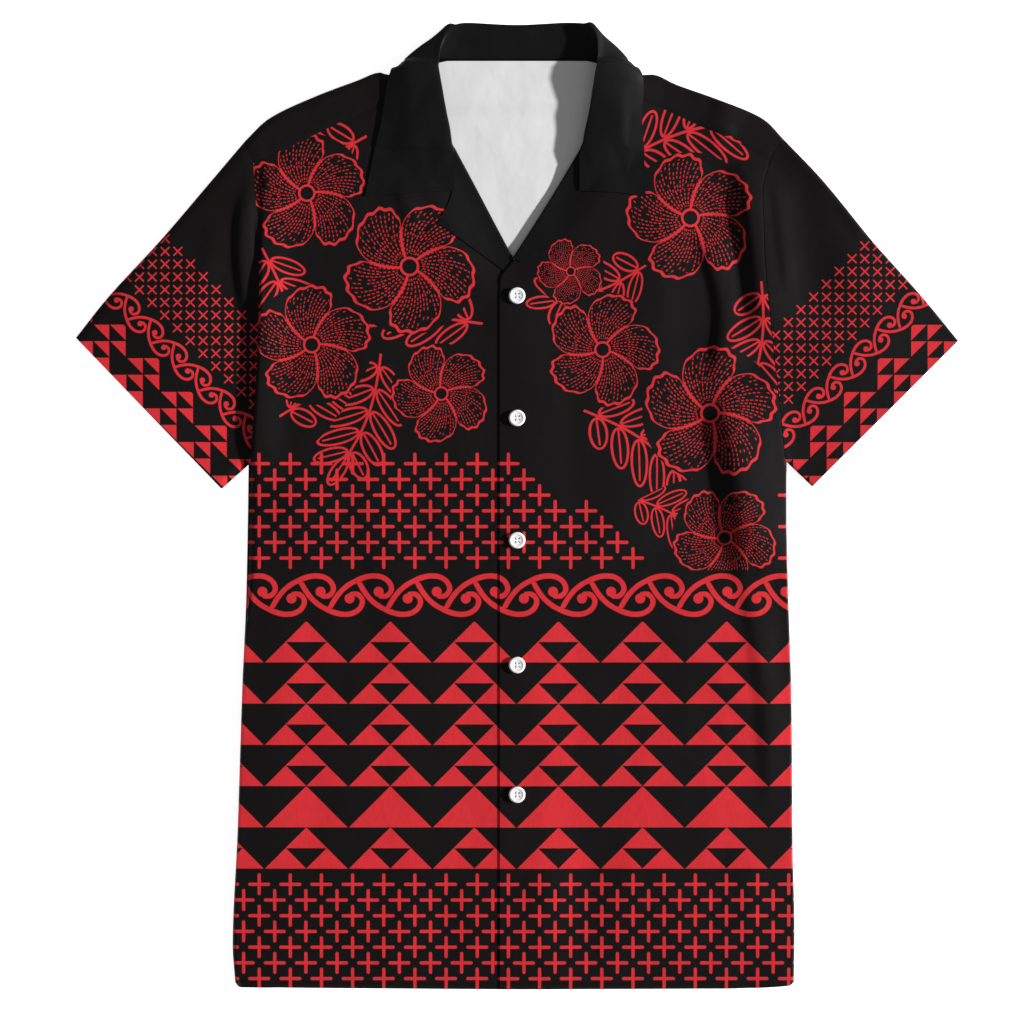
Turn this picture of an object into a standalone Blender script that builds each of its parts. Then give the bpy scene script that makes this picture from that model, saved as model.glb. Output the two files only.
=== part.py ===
"""Hawaiian shirt: a short-sleeved camp-collar shirt, buttoned and laid flat on its back.

+Z is up from the surface, +Y points to the collar and +X to the wearer's left.
The origin lies on the surface, under the middle of the garment. The tables are in
millimetres, and each mesh is made in metres. "Left" and "right" are the wearer's.
"""

import math
from collections import namedtuple

import bmesh
import bpy
from mathutils import Vector

MM = 0.001

# Driving dimensions, in millimetres: walls and seams
CLOTH = 1.2  # wall of the printed cloth
FACING = 1.4  # wall of a turned-out lapel, facing and front together
COLLAR = 2.0  # wall of the turned collar
GAP = 0.3  # between two pieces at a seam
SEAM_EASE = 0.15  # more room where straight facets run along a curve: shoulder seam,
SIDE_EASE = 0.25  # side seam,
ARM_EASE = 0.2  # armhole of a front or sleeve,
BACK_ARM_EASE = 0.3  # armhole of the back,
LAPEL_EASE = 0.35  # a lapel around its front's edge,
COLLAR_EASE = 0.4  # and the collar leaf on the fronts

# How high the layers lie
EDGE_TOP = 4.0  # the upper layer at the garment's edge
PUFF = 1.7  # how much more it has away from the edge
PUFF_REACH = 26.0
SIDE_TOP = 2 * CLOTH + GAP + SIDE_EASE  # the front's edge along a side seam
SIDE_SEAM_END = 60.0  # y where the side seam has passed into the armhole
SIDE_REACH = 10.0
NECK_LIFT = 3.4  # the fronts rise to the neck
NECK_REACH = 38.0
NECK_APEX_Y, NECK_TOP_Y = 205.0, 300.0  # where that lift starts and is whole
OVERLAP_LIFT = 1.7  # the left front lies on the right one
OVERLAP_EDGE = 18.0  # x where that lift begins to fade
OVERLAP_FADE = 34.0
BACK_RISE = 2.5  # the back lies up on the collar leaf under it
BACK_RISE_Y, BACK_RISE_REACH = 318.0, 15.0  # over this length of the back
BACK_RISE_X, BACK_RISE_FADE = 112.0, 30.0  # and out to here on each side
BACK_FOLD = 3.2  # how far the flat back ends inside the shoulder fold's outline
SLEEVE_FOLD = 2.2  # the same for a flat side of a sleeve
PLACKET = 14.0  # each front's edge is this far past the middle

# Facets along and across each panel
SHOULDER_CUTS, NECK_CUTS = 8, 4
BACK_SIDE_CUTS, BACK_ARM_CUTS, BACK_YOKE_CUTS = 11, 5, 6
YOKE_START = 5  # the armhole point from which the back's rows are closer
TURN_CUTS, FLAP_CUTS = 4, 2  # round the shoulder fold, and from it to the seam
FRONT_COLUMNS = 15
EDGE_CUTS, ROLL_CUTS, FRONT_NECK_CUTS = 17, 5, 3
FRONT_SIDE_CUTS, FRONT_ARM_CUTS = 14, 11
SLEEVE_CUTS = 9
LAPEL_ROWS = 11

# Buttons, in millimetres
BUTTON_RADIUS = 6.8
BUTTON_HEIGHT = 2.6
BUTTON_SIDES = 16
BUTTON_HOLE_RADIUS = 0.75
BUTTON_HOLE_SIDES = 6
BUTTON_HOLE_OFFSET = 1.35  # from the button's middle, along x and y
BUTTON_Y = (172.0, 72.0, -28.0, -130.0, -236.0)
# Half of a button's section as (share of its radius, share of its height): face, rim, foot
BUTTON_SECTION = ((0, 0.66), (0.58, 0.66), (0.72, 1), (0.92, 0.9), (1, 0.5), (0.84, 0), (0, 0))

# Outline and seams, each from its lower or outer end, as (x, y)
SIDE_RIGHT = (
    (-231, -390), (-233, -360), (-229, -266), (-225, -144), (-222, -77), (-220.5, -5), (-220, 34)
)
SIDE_LEFT = ((227, -390), (227.5, -348), (226, -282), (225, -159), (222, -61), (221, -5), (221, 36))
ARMHOLE_RIGHT = (
    (-220, 34), (-216, 67), (-214, 120), (-212, 174), (-212, 218), (-214, 254), (-217, 281), (-223, 299)
)
ARMHOLE_LEFT = (
    (221, 36), (216, 84), (210, 138), (204, 200), (203, 226), (202, 254), (210, 286), (219, 300)
)
HEM = ((-231, -390), (-226, -394), (-96, -395.5), (-4, -396), (167, -395.5), (222, -393), (227, -390))
SHOULDER_RIGHT = (
    (-222, 299.6), (-204, 317), (-167, 335), (-130, 349),
    (-112, 355.2), (-105, 353), (-98, 354), (-72, 360.5),
)
SHOULDER_LEFT = (
    (218, 300.6), (202, 317), (165, 333), (130, 345.5),
    (110, 353.5), (102, 353), (96, 354), (72, 360.5),
)
BACK_NECK = ((-64, 364.2), (-54, 364.6), (0, 364.6), (54, 364.6), (64, 364.2))
SEAM_RIGHT = ((-216.2, 281.3), (-191, 292), (-149, 312), (-115, 328), (-87, 338.5))
SEAM_LEFT = ((207.7, 281.3), (191, 292), (148, 312), (113, 328), (87, 338.5))
NECK_RIGHT = ((-50.5, 288), (-72.5, 300.5), (-84.5, 320), (-87, 338.5))
NECK_LEFT = ((51.5, 288), (72.5, 300.5), (85.5, 320), (87, 338.5))
ROLL_RIGHT = ((-5.5, 203), (-21, 232.5), (-36, 261), (-50.5, 288))
ROLL_LEFT = ((-2.5, 201), (15.5, 229), (33, 257), (51.5, 288))
UNDER_EDGE = ((14, -395.6), (14, 150), (14, 178), (-5.5, 203))
OVER_EDGE = ((-14, -395.8), (-14, 160), (-13.5, 184), (-2.5, 201))
SLEEVE_TOP_RIGHT = ((-223, 299), (-251, 266), (-292, 218), (-337, 169), (-361.6, 138))
SLEEVE_TOP_LEFT = ((219, 300), (250, 267), (290, 218), (334, 169), (361.6, 135.5))
UNDERARM_RIGHT = ((-220, 34), (-242, 14))
UNDERARM_LEFT = ((221, 36), (242, 16))
NECK_OPENING = ((-87, 338), (-72, 301), (-50, 288), (-4, 202), (50, 288), (72, 301), (87, 338))

# Largest folds of the upper layer: a crest (height > 0) or trough (< 0) from one end to
# the other, bowed sideways, with its own width on each side of the line
Fold = namedtuple("Fold", "name x0 y0 x1 y1 bow low_width high_width height")
FOLDS = (
    Fold("left armhole crease", 196, 272, 188, 150, 6, 7, 12, -1.8),
    Fold("left armhole crest", 184, 262, 176, 160, 5, 7, 8, 1.9),
    Fold("left front fold", 139, 186, 176, 6, -9, 6, 12, 2.6),
    Fold("left front fold, low", 170, 20, 186, -132, 6, 7, 13, 1.7),
    Fold("left sleeve fold", 222, 268, 232, 120, 5, 6, 12, 2.0),
    Fold("left sleeve crest", 262, 248, 306, 150, 4, 9, 11, 1.6),
    Fold("right armhole crease", -217, 262, -213, 92, -4, 8, 7, -1.8),
    Fold("right sleeve fold", -232, 252, -240, 96, 6, 11, 7, 1.9),
    Fold("right sleeve crest", -270, 214, -316, 130, 5, 10, 9, 1.5),
    Fold("right front crest", -180, 128, -192, 30, 3, 12, 10, 1.4),
    Fold("right collar crease", -98, 262, -84, 214, 4, 8, 8, -1.2),
    Fold("left hem fold", 158, -140, 196, -166, 3, 8, 8, 1.2),
)

# Collar sections from the right front point to the middle of the back. Each runs from
# the neck seam up the stand, over the roll and down the leaf to its edge, as (x, y, z).
COLLAR_COLUMNS = ("seam", "stand", "roll", "leaf", "fold", "under", "edge")
COLLAR_RIGHT = (
    ((-52.9, 258.5, 8), (-57, 258.3, 8), (-64, 258, 8), (-76, 257.5, 8),
     (-92, 256.6, 7), (-108, 255.5, 7), (-124, 254.5, 7)),
    ((-52.9, 272, 9), (-57, 272, 9), (-64, 272, 9), (-76, 272, 9),
     (-92, 271.7, 8), (-107, 271.4, 7), (-121.5, 271, 7)),
    ((-52.4, 288.4, 10.6), (-55, 288.8, 10.7), (-61, 289, 10.7), (-74, 289.3, 10.2),
     (-90, 289.8, 8), (-105, 290.2, 7), (-119, 290.6, 7)),
    ((-48.8, 293.2, 8), (-47.6, 293.6, 9), (-48.3, 294.2, 10.8), (-56, 295, 11.8),
     (-84, 295.8, 9), (-101, 297, 8), (-117.8, 298, 7)),
    ((-70.5, 302.4, 7.6), (-59, 303.5, 6.6), (-53, 306, 9.2), (-60, 307, 12),
     (-84, 307.5, 10), (-100, 308, 8), (-116, 308, 7)),
    ((-83, 320.5, 7.9), (-66, 321.5, 6.8), (-57, 324, 9.8), (-64.5, 324.5, 12.8),
     (-84, 324, 11), (-99, 324, 9), (-113, 323.5, 7)),
    ((-85.2, 336, 7.9), (-70, 338, 7.2), (-60, 341, 10.5), (-68, 341.5, 13.4),
     (-84, 340, 12), (-98, 339, 10), (-110, 338, 8.5)),
    ((-78.2, 348.3, 7.7), (-70.5, 350, 7.6), (-62, 353.5, 11.5), (-70, 355, 13.8),
     (-88, 353, 12.5), (-99, 351, 11), (-107.5, 349.5, 9.8)),
    ((-73.2, 355.4, 7.2), (-69, 356.5, 7.8), (-62.8, 360, 12), (-71, 361.5, 13.6),
     (-88, 361, 11.6), (-98, 360.2, 9), (-104.8, 359.4, 6)),
    ((-72, 357.9, 6.9), (-68, 359.8, 7.9), (-63.1, 363.5, 12), (-71, 365.5, 13.2),
     (-89.5, 364.5, 9), (-97, 360.6, 3.4), (-100.5, 356.8, 1.2)),
    ((-69.8, 361.2, 6.6), (-67, 363.4, 8), (-63.4, 367, 12), (-71, 369.5, 12.6),
     (-91.8, 365.6, 5.2), (-91, 359.5, 1.1), (-91, 346.5, 1)),
    ((-65, 365.6, 5.4), (-63.5, 370, 8.6), (-61.6, 379, 11.5), (-66, 382.5, 10.6),
     (-74.8, 379, 4.6), (-75, 371, 1.2), (-74, 346.5, 1)),
    ((-58, 366.2, 4.2), (-57, 378, 7.6), (-55.5, 391.2, 8.4), (-57, 393.6, 5.2),
     (-59, 388, 1.4), (-59, 372, 1), (-58, 346, 1)),
    ((-40, 366, 3.5), (-40, 384, 6.6), (-40, 394.7, 4.2), (-40, 389.5, 1.3),
     (-40, 378, 1), (-40, 362, 1), (-40, 345.5, 1)),
    ((0, 366, 3.4), (0, 384, 6.4), (0, 393.6, 4), (0, 388, 1.3),
     (0, 376, 1), (0, 361, 1), (0, 345, 1)),
)
# The left side mirrors the right but for these moves of the roll, fold and edge towards
# the middle, in millimetres, a row for each section that differs
COLLAR_LEFT_MOVES = (
    (0, 3, 17),
    (0, 3, 15),
    (0, 3, 12.5),
    (-0.5, 2, 11.5),
    (-2.5, 0, 10),
    (-4, 0, 7),
    (-5, 0, 4),
    (-5, 0, 2),
    (-5, 1.5, 3),
    (-5, 1.5, 1.5),
    (-5, 1.5, 0),
    (-6, -2, 0),
    (-5, -2, 0),
)
COLLAR_STEPS = (0, 0.5, 1, 1.5, 1.8, 2, 2.25, 2.6, 3, 3.5, 4, 4.4, 5, 6)  # columns to sample
COLLAR_ROLL = 2  # the leaf is past this column
COLLAR_TIP = 2  # and wholly on the fronts up to this section from each end
COLLAR_ON_FRONT_Z, COLLAR_ON_FRONT_Y = 5.9, 358.0  # above and below which it rests on them
STAND_MOVE = 0.6  # the stand's share of the roll's move

# Lapel edges from the gorge down, as (x, y)
LAPEL_EDGE_RIGHT = ((-50.6, 257.5), (-63, 233), (-38, 214), (-11.5, 195.5))
LAPEL_EDGE_LEFT = ((52.5, 258.5), (47.5, 229.5), (28, 214), (6, 198.5))
LAPEL_SHARES = 0.02, 0.95  # the part of the roll line that a lapel turns over
# A lapel's section round its front's edge: how far inside the edge each point lies, and how
# far from the front's middle as a share of the whole distance. The first point, hidden under
# the front, is further in at the top by HOOK.
HOOK = 8.0
HOOK_END = 4.0
LAPEL_REACH = (HOOK_END, 3.2, 0.8, -1.0, -2.0, -1.0, 0.8, 3.2)
LAPEL_LEVEL = (-1, -1, -1, -0.82, 0, 0.82, 1, 1)
LAPEL_SQUARE = 0.8  # up to here the points lie square to the roll, then towards the edge
LAPEL_OUT_CUTS = 4  # from the last of them to the lapel's outer edge


def smoothstep(t):
    """0 to 1 with level ends."""
    t = max(0.0, min(1.0, t))
    return t * t * (3 - 2 * t)


def through(knots, rows):
    """A function that joins the rows of numbers at the knots and never overshoots them."""
    spans = [b - a for a, b in zip(knots, knots[1:])]
    slopes = []
    for column in zip(*rows):
        grades = [(b - a) / span for a, b, span in zip(column, column[1:], spans)]
        inner = [2 * a * b / (a + b) if a * b > 0 else 0.0 for a, b in zip(grades, grades[1:])]
        slopes.append([grades[0], *inner, grades[-1]])

    def at(place):
        k = 0
        while k < len(spans) - 1 and place > knots[k + 1]:
            k += 1
        t = (place - knots[k]) / spans[k]
        a = (1 + 2 * t) * (1 - t) ** 2
        b = t * t * (3 - 2 * t)
        c = t * (1 - t) ** 2 * spans[k]
        d = t * t * (t - 1) * spans[k]
        pairs = zip(rows[k], rows[k + 1], slopes)
        return tuple(a * low + b * high + c * s[k] + d * s[k + 1] for low, high, s in pairs)

    return at


def path(points):
    """A smooth curve through the points, as a function of its share of the length."""
    reach = [0.0]
    for a, b in zip(points, points[1:]):
        reach.append(reach[-1] + math.dist(a, b))
    return through([r / reach[-1] for r in reach], points)


def run(*legs):
    """Points along paths that meet end to end, each leg as (points, count)."""
    places = []
    for points, count in legs:
        curve = path(points)
        places += [curve(k / count) for k in range(count)]
    places.append(legs[-1][0][-1])
    return places


def shares(line):
    """How far along its length each point of a line lies."""
    reach = [0.0]
    for a, b in zip(line, line[1:]):
        reach.append(reach[-1] + math.dist(a, b))
    return [r / reach[-1] for r in reach]


def between_edges(low, high, first, last):
    """A Coons patch: place(column, row) for a panel between four edge lines."""
    across = [(a + b) / 2 for a, b in zip(shares(low), shares(high))]
    along = [(a + b) / 2 for a, b in zip(shares(first), shares(last))]

    def place(column, row):
        u, v = across[column], along[row]
        found = []
        for axis in (0, 1):
            sides = (1 - u) * first[row][axis] + u * last[row][axis]
            ends = (1 - v) * low[column][axis] + v * high[column][axis]
            corners = (1 - u) * (1 - v) * low[0][axis] + u * (1 - v) * low[-1][axis]
            corners += (1 - u) * v * high[0][axis] + u * v * high[-1][axis]
            found.append(sides + ends - corners)
        return found

    return place


def to_segment(x, y, start, end):
    """Distance to a segment, and the share along it of the nearest place."""
    dx, dy = end[0] - start[0], end[1] - start[1]
    along = ((x - start[0]) * dx + (y - start[1]) * dy) / (dx * dx + dy * dy)
    along = max(0.0, min(1.0, along))
    away_x, away_y = x - start[0] - along * dx, y - start[1] - along * dy
    return math.hypot(away_x, away_y), along


def to_line(x, y, line):
    """Distance to a line of points."""
    return min(to_segment(x, y, a, b)[0] for a, b in zip(line, line[1:]))


SIDES = (run((SIDE_RIGHT, 8)), run((SIDE_LEFT, 8)))
OUTLINE = (
    SIDES[0],
    SIDES[1],
    run((HEM, 10)),
    run((SHOULDER_RIGHT, 8)),
    run((SHOULDER_LEFT, 8)),
    run((SLEEVE_TOP_RIGHT, 6)),
    run((SLEEVE_TOP_LEFT, 6)),
    UNDERARM_RIGHT,
    UNDERARM_LEFT,
)


def fold_rise(x, y, fold):
    """What one fold adds to the height of the upper layer."""
    along = to_segment(x, y, (fold.x0, fold.y0), (fold.x1, fold.y1))[1]
    swell = math.sin(math.pi * along)
    line_x = fold.x0 + (fold.x1 - fold.x0) * along + fold.bow * swell
    line_y = fold.y0 + (fold.y1 - fold.y0) * along
    away = math.hypot(x - line_x, y - line_y)
    width = fold.low_width if x < line_x else fold.high_width
    ends = min(1.0, 1.6 * swell) if 0 < along < 1 else 0.0
    return fold.height * ends * (1 - smoothstep(away / (2 * width)))


def cloth_top(x, y):
    """Height of the upper layer's outer face, the same on every panel."""
    inside = min(1.0, min(to_line(x, y, line) for line in OUTLINE) / PUFF_REACH)
    height = EDGE_TOP + PUFF * math.sin(inside * math.pi / 2)
    near_neck = 1 - smoothstep(to_line(x, y, NECK_OPENING) / NECK_REACH)
    height += NECK_LIFT * near_neck * smoothstep((y - NECK_APEX_Y) / (NECK_TOP_Y - NECK_APEX_Y))
    height += sum(fold_rise(x, y, fold) for fold in FOLDS)
    return max(height, SIDE_TOP)


def back_bottom(x, y):
    """Height of the back's underside: flat, but raised where the collar leaf lies under it."""
    up = smoothstep((y - BACK_RISE_Y) / BACK_RISE_REACH)
    across = 1 - smoothstep((abs(x) - BACK_RISE_X) / BACK_RISE_FADE)
    return BACK_RISE * up * across


def overlap_lift(x):
    """How much higher the left front lies, on the right front's edge."""
    return OVERLAP_LIFT * (1 - smoothstep((x - OVERLAP_EDGE) / OVERLAP_FADE))


def finish(name, bm, material, wall, offset):
    """The object of an open surface in millimetres, given its wall by a Solidify modifier."""
    bmesh.ops.remove_doubles(bm, verts=bm.verts, dist=0.001)
    bmesh.ops.scale(bm, vec=(MM, MM, MM), verts=bm.verts)
    mesh = bpy.data.meshes.new(name)
    bm.to_mesh(mesh)
    bm.free()
    mesh.shade_smooth()
    shown = bpy.data.objects.new(name, mesh)
    mesh.materials.append(material)
    parts.objects.link(shown)
    thickness = shown.modifiers.new("wall", "SOLIDIFY")
    thickness.thickness = wall * MM
    thickness.offset = offset
    thickness.use_even_offset = True
    return shown


def add_grid(bm, columns, rows, place, flip=False):
    """A grid whose point in each column and row goes where place says, in millimetres."""
    made = bmesh.ops.create_grid(bm, x_segments=columns, y_segments=rows, size=1.0)["verts"]
    for vert in made:
        column = round((vert.co.x + 1) / 2 * columns)
        row = round((vert.co.y + 1) / 2 * rows)
        vert.co = Vector(place(column, row))
    if flip:
        faces = list({face for vert in made for face in vert.link_faces})
        bmesh.ops.reverse_faces(bm, faces=faces)


def inset(line, distance):
    """A line moved to its left by a distance, in the plan."""
    moved = []
    for k, (x, y) in enumerate(line):
        (ax, ay), (bx, by) = line[max(k - 1, 0)], line[min(k + 1, len(line) - 1)]
        dx, dy = bx - ax, by - ay
        size = math.hypot(dx, dy)
        moved.append((x - dy / size * distance, y + dx / size * distance))
    return moved


def make_back(material):
    """The back in one piece: flat on the surface, and over both shoulders to the seams."""
    right = inset(run((SHOULDER_RIGHT, SHOULDER_CUTS)), -BACK_FOLD)
    left = inset(run((SHOULDER_LEFT, SHOULDER_CUTS)), BACK_FOLD)
    high = right + run((BACK_NECK, NECK_CUTS)) + left[::-1]
    low_path = path(HEM)
    low = [low_path(share) for share in shares(high)]
    sides = []
    for side, arm, sign, corner in (
        (SIDE_RIGHT, ARMHOLE_RIGHT, -1, high[0]),
        (SIDE_LEFT, ARMHOLE_LEFT, 1, high[-1]),
    ):
        lower_arm, yoke = arm[: YOKE_START + 1], arm[YOKE_START:]
        line = run((side, BACK_SIDE_CUTS), (lower_arm, BACK_ARM_CUTS), (yoke, BACK_YOKE_CUTS))
        line[-1] = corner
        curved = slice(BACK_SIDE_CUTS + 1, -1)
        line[curved] = inset(line[curved], sign * (GAP + BACK_ARM_EASE))
        sides.append(line)
    panel = between_edges(low, high, *sides)

    def place(column, row):
        x, y = panel(column, row)
        return x, y, back_bottom(x, y)

    bm = bmesh.new()
    add_grid(bm, len(high) - 1, len(sides[0]) - 1, place)
    for start, outline, seam, sign in (
        (right, SHOULDER_RIGHT, SEAM_RIGHT, 1),
        (left, SHOULDER_LEFT, SEAM_LEFT, -1),
    ):
        rim = run((outline, SHOULDER_CUTS))
        sewn = inset(run((seam, SHOULDER_CUTS)), sign * (GAP + SEAM_EASE))

        def flap(column, row, start=start, rim=rim, sewn=sewn):
            x, y = start[column]
            if row < TURN_CUTS:
                turn = math.pi * row / TURN_CUTS
                bottom, top = back_bottom(x, y), cloth_top(x, y)
                z = bottom + (top - bottom) * (1 - math.cos(turn)) / 2
                x += (rim[column][0] - x) * math.sin(turn)
                y += (rim[column][1] - y) * math.sin(turn)
                return x, y, z
            along = (row - TURN_CUTS) / FLAP_CUTS
            x += (sewn[column][0] - x) * along
            y += (sewn[column][1] - y) * along
            return x, y, cloth_top(x, y)

        add_grid(bm, SHOULDER_CUTS, TURN_CUTS + FLAP_CUTS, flap, flip=sign < 0)
    return finish("back", bm, material, CLOTH, 1.0)


def make_front(name, material, edge, roll, neck, seam, side, arm, over):
    """One front: placket, roll and neck on its inner edge, side and armhole on its outer."""
    left = seam[0][0] > 0
    inner = run((edge, EDGE_CUTS), (roll, ROLL_CUTS), (neck, FRONT_NECK_CUTS))
    outer = run((side, FRONT_SIDE_CUTS), (arm[:-1], FRONT_ARM_CUTS))
    curved = slice(FRONT_SIDE_CUTS + 1, -1)
    outer[curved] = inset(outer[curved], (GAP + ARM_EASE) * (1 if left else -1))
    outer[-1], inner[-1] = seam[0], seam[-1]
    past_middle = PLACKET / sum(math.dist(a, b) for a, b in zip(HEM, HEM[1:]))
    start = 0.5 - past_middle if left else 0.0
    end = 1.0 if left else 0.5 + past_middle
    hem = path(HEM)
    low = [hem(start + (end - start) * k / FRONT_COLUMNS) for k in range(FRONT_COLUMNS + 1)]
    high = run((seam[::-1] if left else seam, FRONT_COLUMNS))
    first, last = (inner, outer) if left else (outer, inner)
    first[0], last[0] = low[0], low[-1]
    panel = between_edges(low, high, first, last)
    side_line = SIDES[1] if left else SIDES[0]

    def place(column, row):
        x, y = panel(column, row)
        z = cloth_top(x, y) + (overlap_lift(x) if over else 0.0)
        if y < SIDE_SEAM_END:
            z += (SIDE_TOP - z) * (1 - smoothstep(to_line(x, y, side_line) / SIDE_REACH))
        return x, y, z

    bm = bmesh.new()
    add_grid(bm, FRONT_COLUMNS, len(inner) - 1, place)
    return finish(name, bm, material, CLOTH, -1.0)


def make_sleeve(name, material, arm, top, under):
    """A set-in sleeve: a tube pressed flat, open at the armhole and at the cuff."""
    left = arm[0][0] > 0
    across = SLEEVE_CUTS
    armhole = inset(run((arm, across)), (GAP + ARM_EASE) * (-1 if left else 1))
    cuff = run(((under[-1], top[-1]), across))
    upper = run((top, SLEEVE_CUTS))
    lower = run((under, SLEEVE_CUTS))
    upper[0], lower[0] = armhole[-1], armhole[0]
    flat = between_edges(armhole, cuff, lower, upper)
    # Columns round the tube: the upper side, its fold at the top edge, the side that lies on
    # the surface, and the fold at the underarm edge
    top_fold = across + 1
    ring = 2 * across + 4

    def place(column, row):
        column %= ring
        if column in (top_fold, ring - 1):
            x, y = flat(across if column == top_fold else 0, row)
            return x, y, cloth_top(x, y) / 2
        lying = column > top_fold
        k = ring - 2 - column if lying else column
        x, y = flat(k, row)
        if k in (0, across):
            near_x, near_y = flat(1 if k == 0 else across - 1, row)
            size = math.dist((x, y), (near_x, near_y))
            x += (near_x - x) * SLEEVE_FOLD / size
            y += (near_y - y) * SLEEVE_FOLD / size
        return x, y, 0.0 if lying else cloth_top(x, y)

    bm = bmesh.new()
    add_grid(bm, ring, SLEEVE_CUTS, place, flip=left)
    return finish(name, bm, material, CLOTH, -1.0)


def make_collar(material):
    """Stand and leaf in one wall through its sections, from one front point to the other."""
    left = []
    for k, section in enumerate(COLLAR_RIGHT[:-1]):
        roll, fold, edge = COLLAR_LEFT_MOVES[k] if k < len(COLLAR_LEFT_MOVES) else (0, 0, 0)
        moves = (0, roll * STAND_MOVE, roll, roll, fold, (fold + edge) / 2, edge)
        left.append([(-x - move, y, z) for (x, y, z), move in zip(section, moves)])
    sections = list(COLLAR_RIGHT) + left[::-1]
    last = len(sections) - 1
    knots = range(len(COLLAR_COLUMNS))
    lines = [through(range(last + 1), [section[k] for section in sections]) for k in knots]

    def place(column, row):
        step, cut = COLLAR_STEPS[column], row / 2
        x, y, z = through(knots, [line(cut) for line in lines])(step)
        at_tip = cut <= COLLAR_TIP or cut >= last - COLLAR_TIP
        if at_tip or (step > COLLAR_ROLL and z > COLLAR_ON_FRONT_Z and y < COLLAR_ON_FRONT_Y):
            z = max(z, cloth_top(x, y) + GAP + COLLAR / 2 + COLLAR_EASE)
        return x, y, max(z, COLLAR / 2)

    bm = bmesh.new()
    add_grid(bm, len(COLLAR_STEPS) - 1, 2 * last, place)
    bmesh.ops.recalc_face_normals(bm, faces=bm.faces)
    return finish("collar", bm, material, COLLAR, 0.0)


def make_lapel(name, material, roll, edge, over):
    """A turned-out facing: from under its front, round the roll, and out to its edge."""
    roll_path, edge_path = path(roll[::-1]), path(edge)
    along = Vector(roll[0]) - Vector(roll[-1])
    left = roll[-1][0] > 0
    square = Vector((-along.y, along.x) if left else (along.y, -along.x)).normalized()
    start, end = LAPEL_SHARES

    def place(column, row):
        share = row / LAPEL_ROWS
        x, y = roll_path(start + (end - start) * share)
        edge_x, edge_y = edge_path(share)
        to_edge = Vector((edge_x - x, edge_y - y)).normalized()
        inward = square.lerp(to_edge, (1 - share) ** 3).normalized()
        step = min(column, len(LAPEL_REACH) - 1)
        reach = LAPEL_REACH[step] + (HOOK * (1 - share) if step == 0 else 0.0)
        moved = square * min(reach, LAPEL_SQUARE) + inward * max(reach - LAPEL_SQUARE, 0.0)
        x, y = x + moved.x, y + moved.y
        out = (column - step) / LAPEL_OUT_CUTS
        x, y = x + (edge_x - x) * out, y + (edge_y - y) * out
        middle = cloth_top(x, y) + (overlap_lift(x) if over else 0.0) - CLOTH / 2
        to_middle = CLOTH / 2 + GAP + FACING / 2 + LAPEL_EASE
        return x, y, middle + LAPEL_LEVEL[step] * to_middle

    bm = bmesh.new()
    add_grid(bm, len(LAPEL_REACH) - 1 + LAPEL_OUT_CUTS, LAPEL_ROWS, place)
    return finish(name, bm, material, FACING, 0.0)


def make_button(number, y, material):
    """A four-hole button: a turned disc with a raised rim, drilled through."""
    name = f"button_{number}"
    near = (-0.75 * BUTTON_RADIUS, 0.0, 0.75 * BUTTON_RADIUS)
    seat = max(cloth_top(dx, y + dy) for dx in near for dy in near)
    bm = bmesh.new()
    line = [
        bm.verts.new((out * BUTTON_RADIUS * MM, 0.0, up * BUTTON_HEIGHT * MM))
        for out, up in BUTTON_SECTION
    ]
    for a, b in zip(line, line[1:]):
        bm.edges.new((a, b))
    bmesh.ops.spin(
        bm, geom=list(bm.verts) + list(bm.edges), angle=math.tau, steps=BUTTON_SIDES,
        axis=(0, 0, 1), cent=(0, 0, 0), use_merge=True,
    )
    bmesh.ops.remove_doubles(bm, verts=bm.verts, dist=0.01 * MM)
    bmesh.ops.recalc_face_normals(bm, faces=bm.faces)
    mesh = bpy.data.meshes.new(name)
    bm.to_mesh(mesh)
    bm.free()
    mesh.materials.append(material)
    button = bpy.data.objects.new(name, mesh)
    button.location = (0.0, y * MM, (seat + OVERLAP_LIFT + GAP) * MM)
    parts.objects.link(button)

    bm = bmesh.new()
    for x_side in (-1, 1):
        for y_side in (-1, 1):
            drill = bmesh.ops.create_cone(
                bm, cap_ends=True, segments=BUTTON_HOLE_SIDES, depth=4 * BUTTON_HEIGHT * MM,
                radius1=BUTTON_HOLE_RADIUS * MM, radius2=BUTTON_HOLE_RADIUS * MM,
            )["verts"]
            centre = Vector((x_side, y_side, 0)) * BUTTON_HOLE_OFFSET * MM
            bmesh.ops.translate(bm, vec=centre, verts=drill)
    drill_mesh = bpy.data.meshes.new(f"{name}_drill")
    bm.to_mesh(drill_mesh)
    bm.free()
    cutter = bpy.data.objects.new(f"{name}_drill", drill_mesh)
    cutter.location = button.location
    cutter.hide_render = True
    cutter.display_type = "WIRE"
    drills.objects.link(cutter)
    holes = button.modifiers.new("holes", "BOOLEAN")
    holes.operation = "DIFFERENCE"
    holes.solver = "EXACT"
    holes.object = cutter


def finish_of(name, colour, roughness):
    """A plain Principled material."""
    material = bpy.data.materials.new(name)
    material.use_nodes = True
    shader = material.node_tree.nodes["Principled BSDF"]
    shader.inputs["Base Color"].default_value = (*colour, 1.0)
    shader.inputs["Roughness"].default_value = roughness
    shader.inputs["Metallic"].default_value = 0.0
    return material


for old in list(bpy.data.objects):
    bpy.data.objects.remove(old, do_unlink=True)

parts = bpy.data.collections.new("hawaiian_shirt")
drills = bpy.data.collections.new("cutters")
bpy.context.scene.collection.children.link(parts)
bpy.context.scene.collection.children.link(drills)

printed = finish_of("printed cloth", (0.016, 0.013, 0.013), 0.62)
plain = finish_of("plain black cloth", (0.010, 0.010, 0.010), 0.6)
pearl = finish_of("white button", (0.85, 0.84, 0.82), 0.3)

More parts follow.
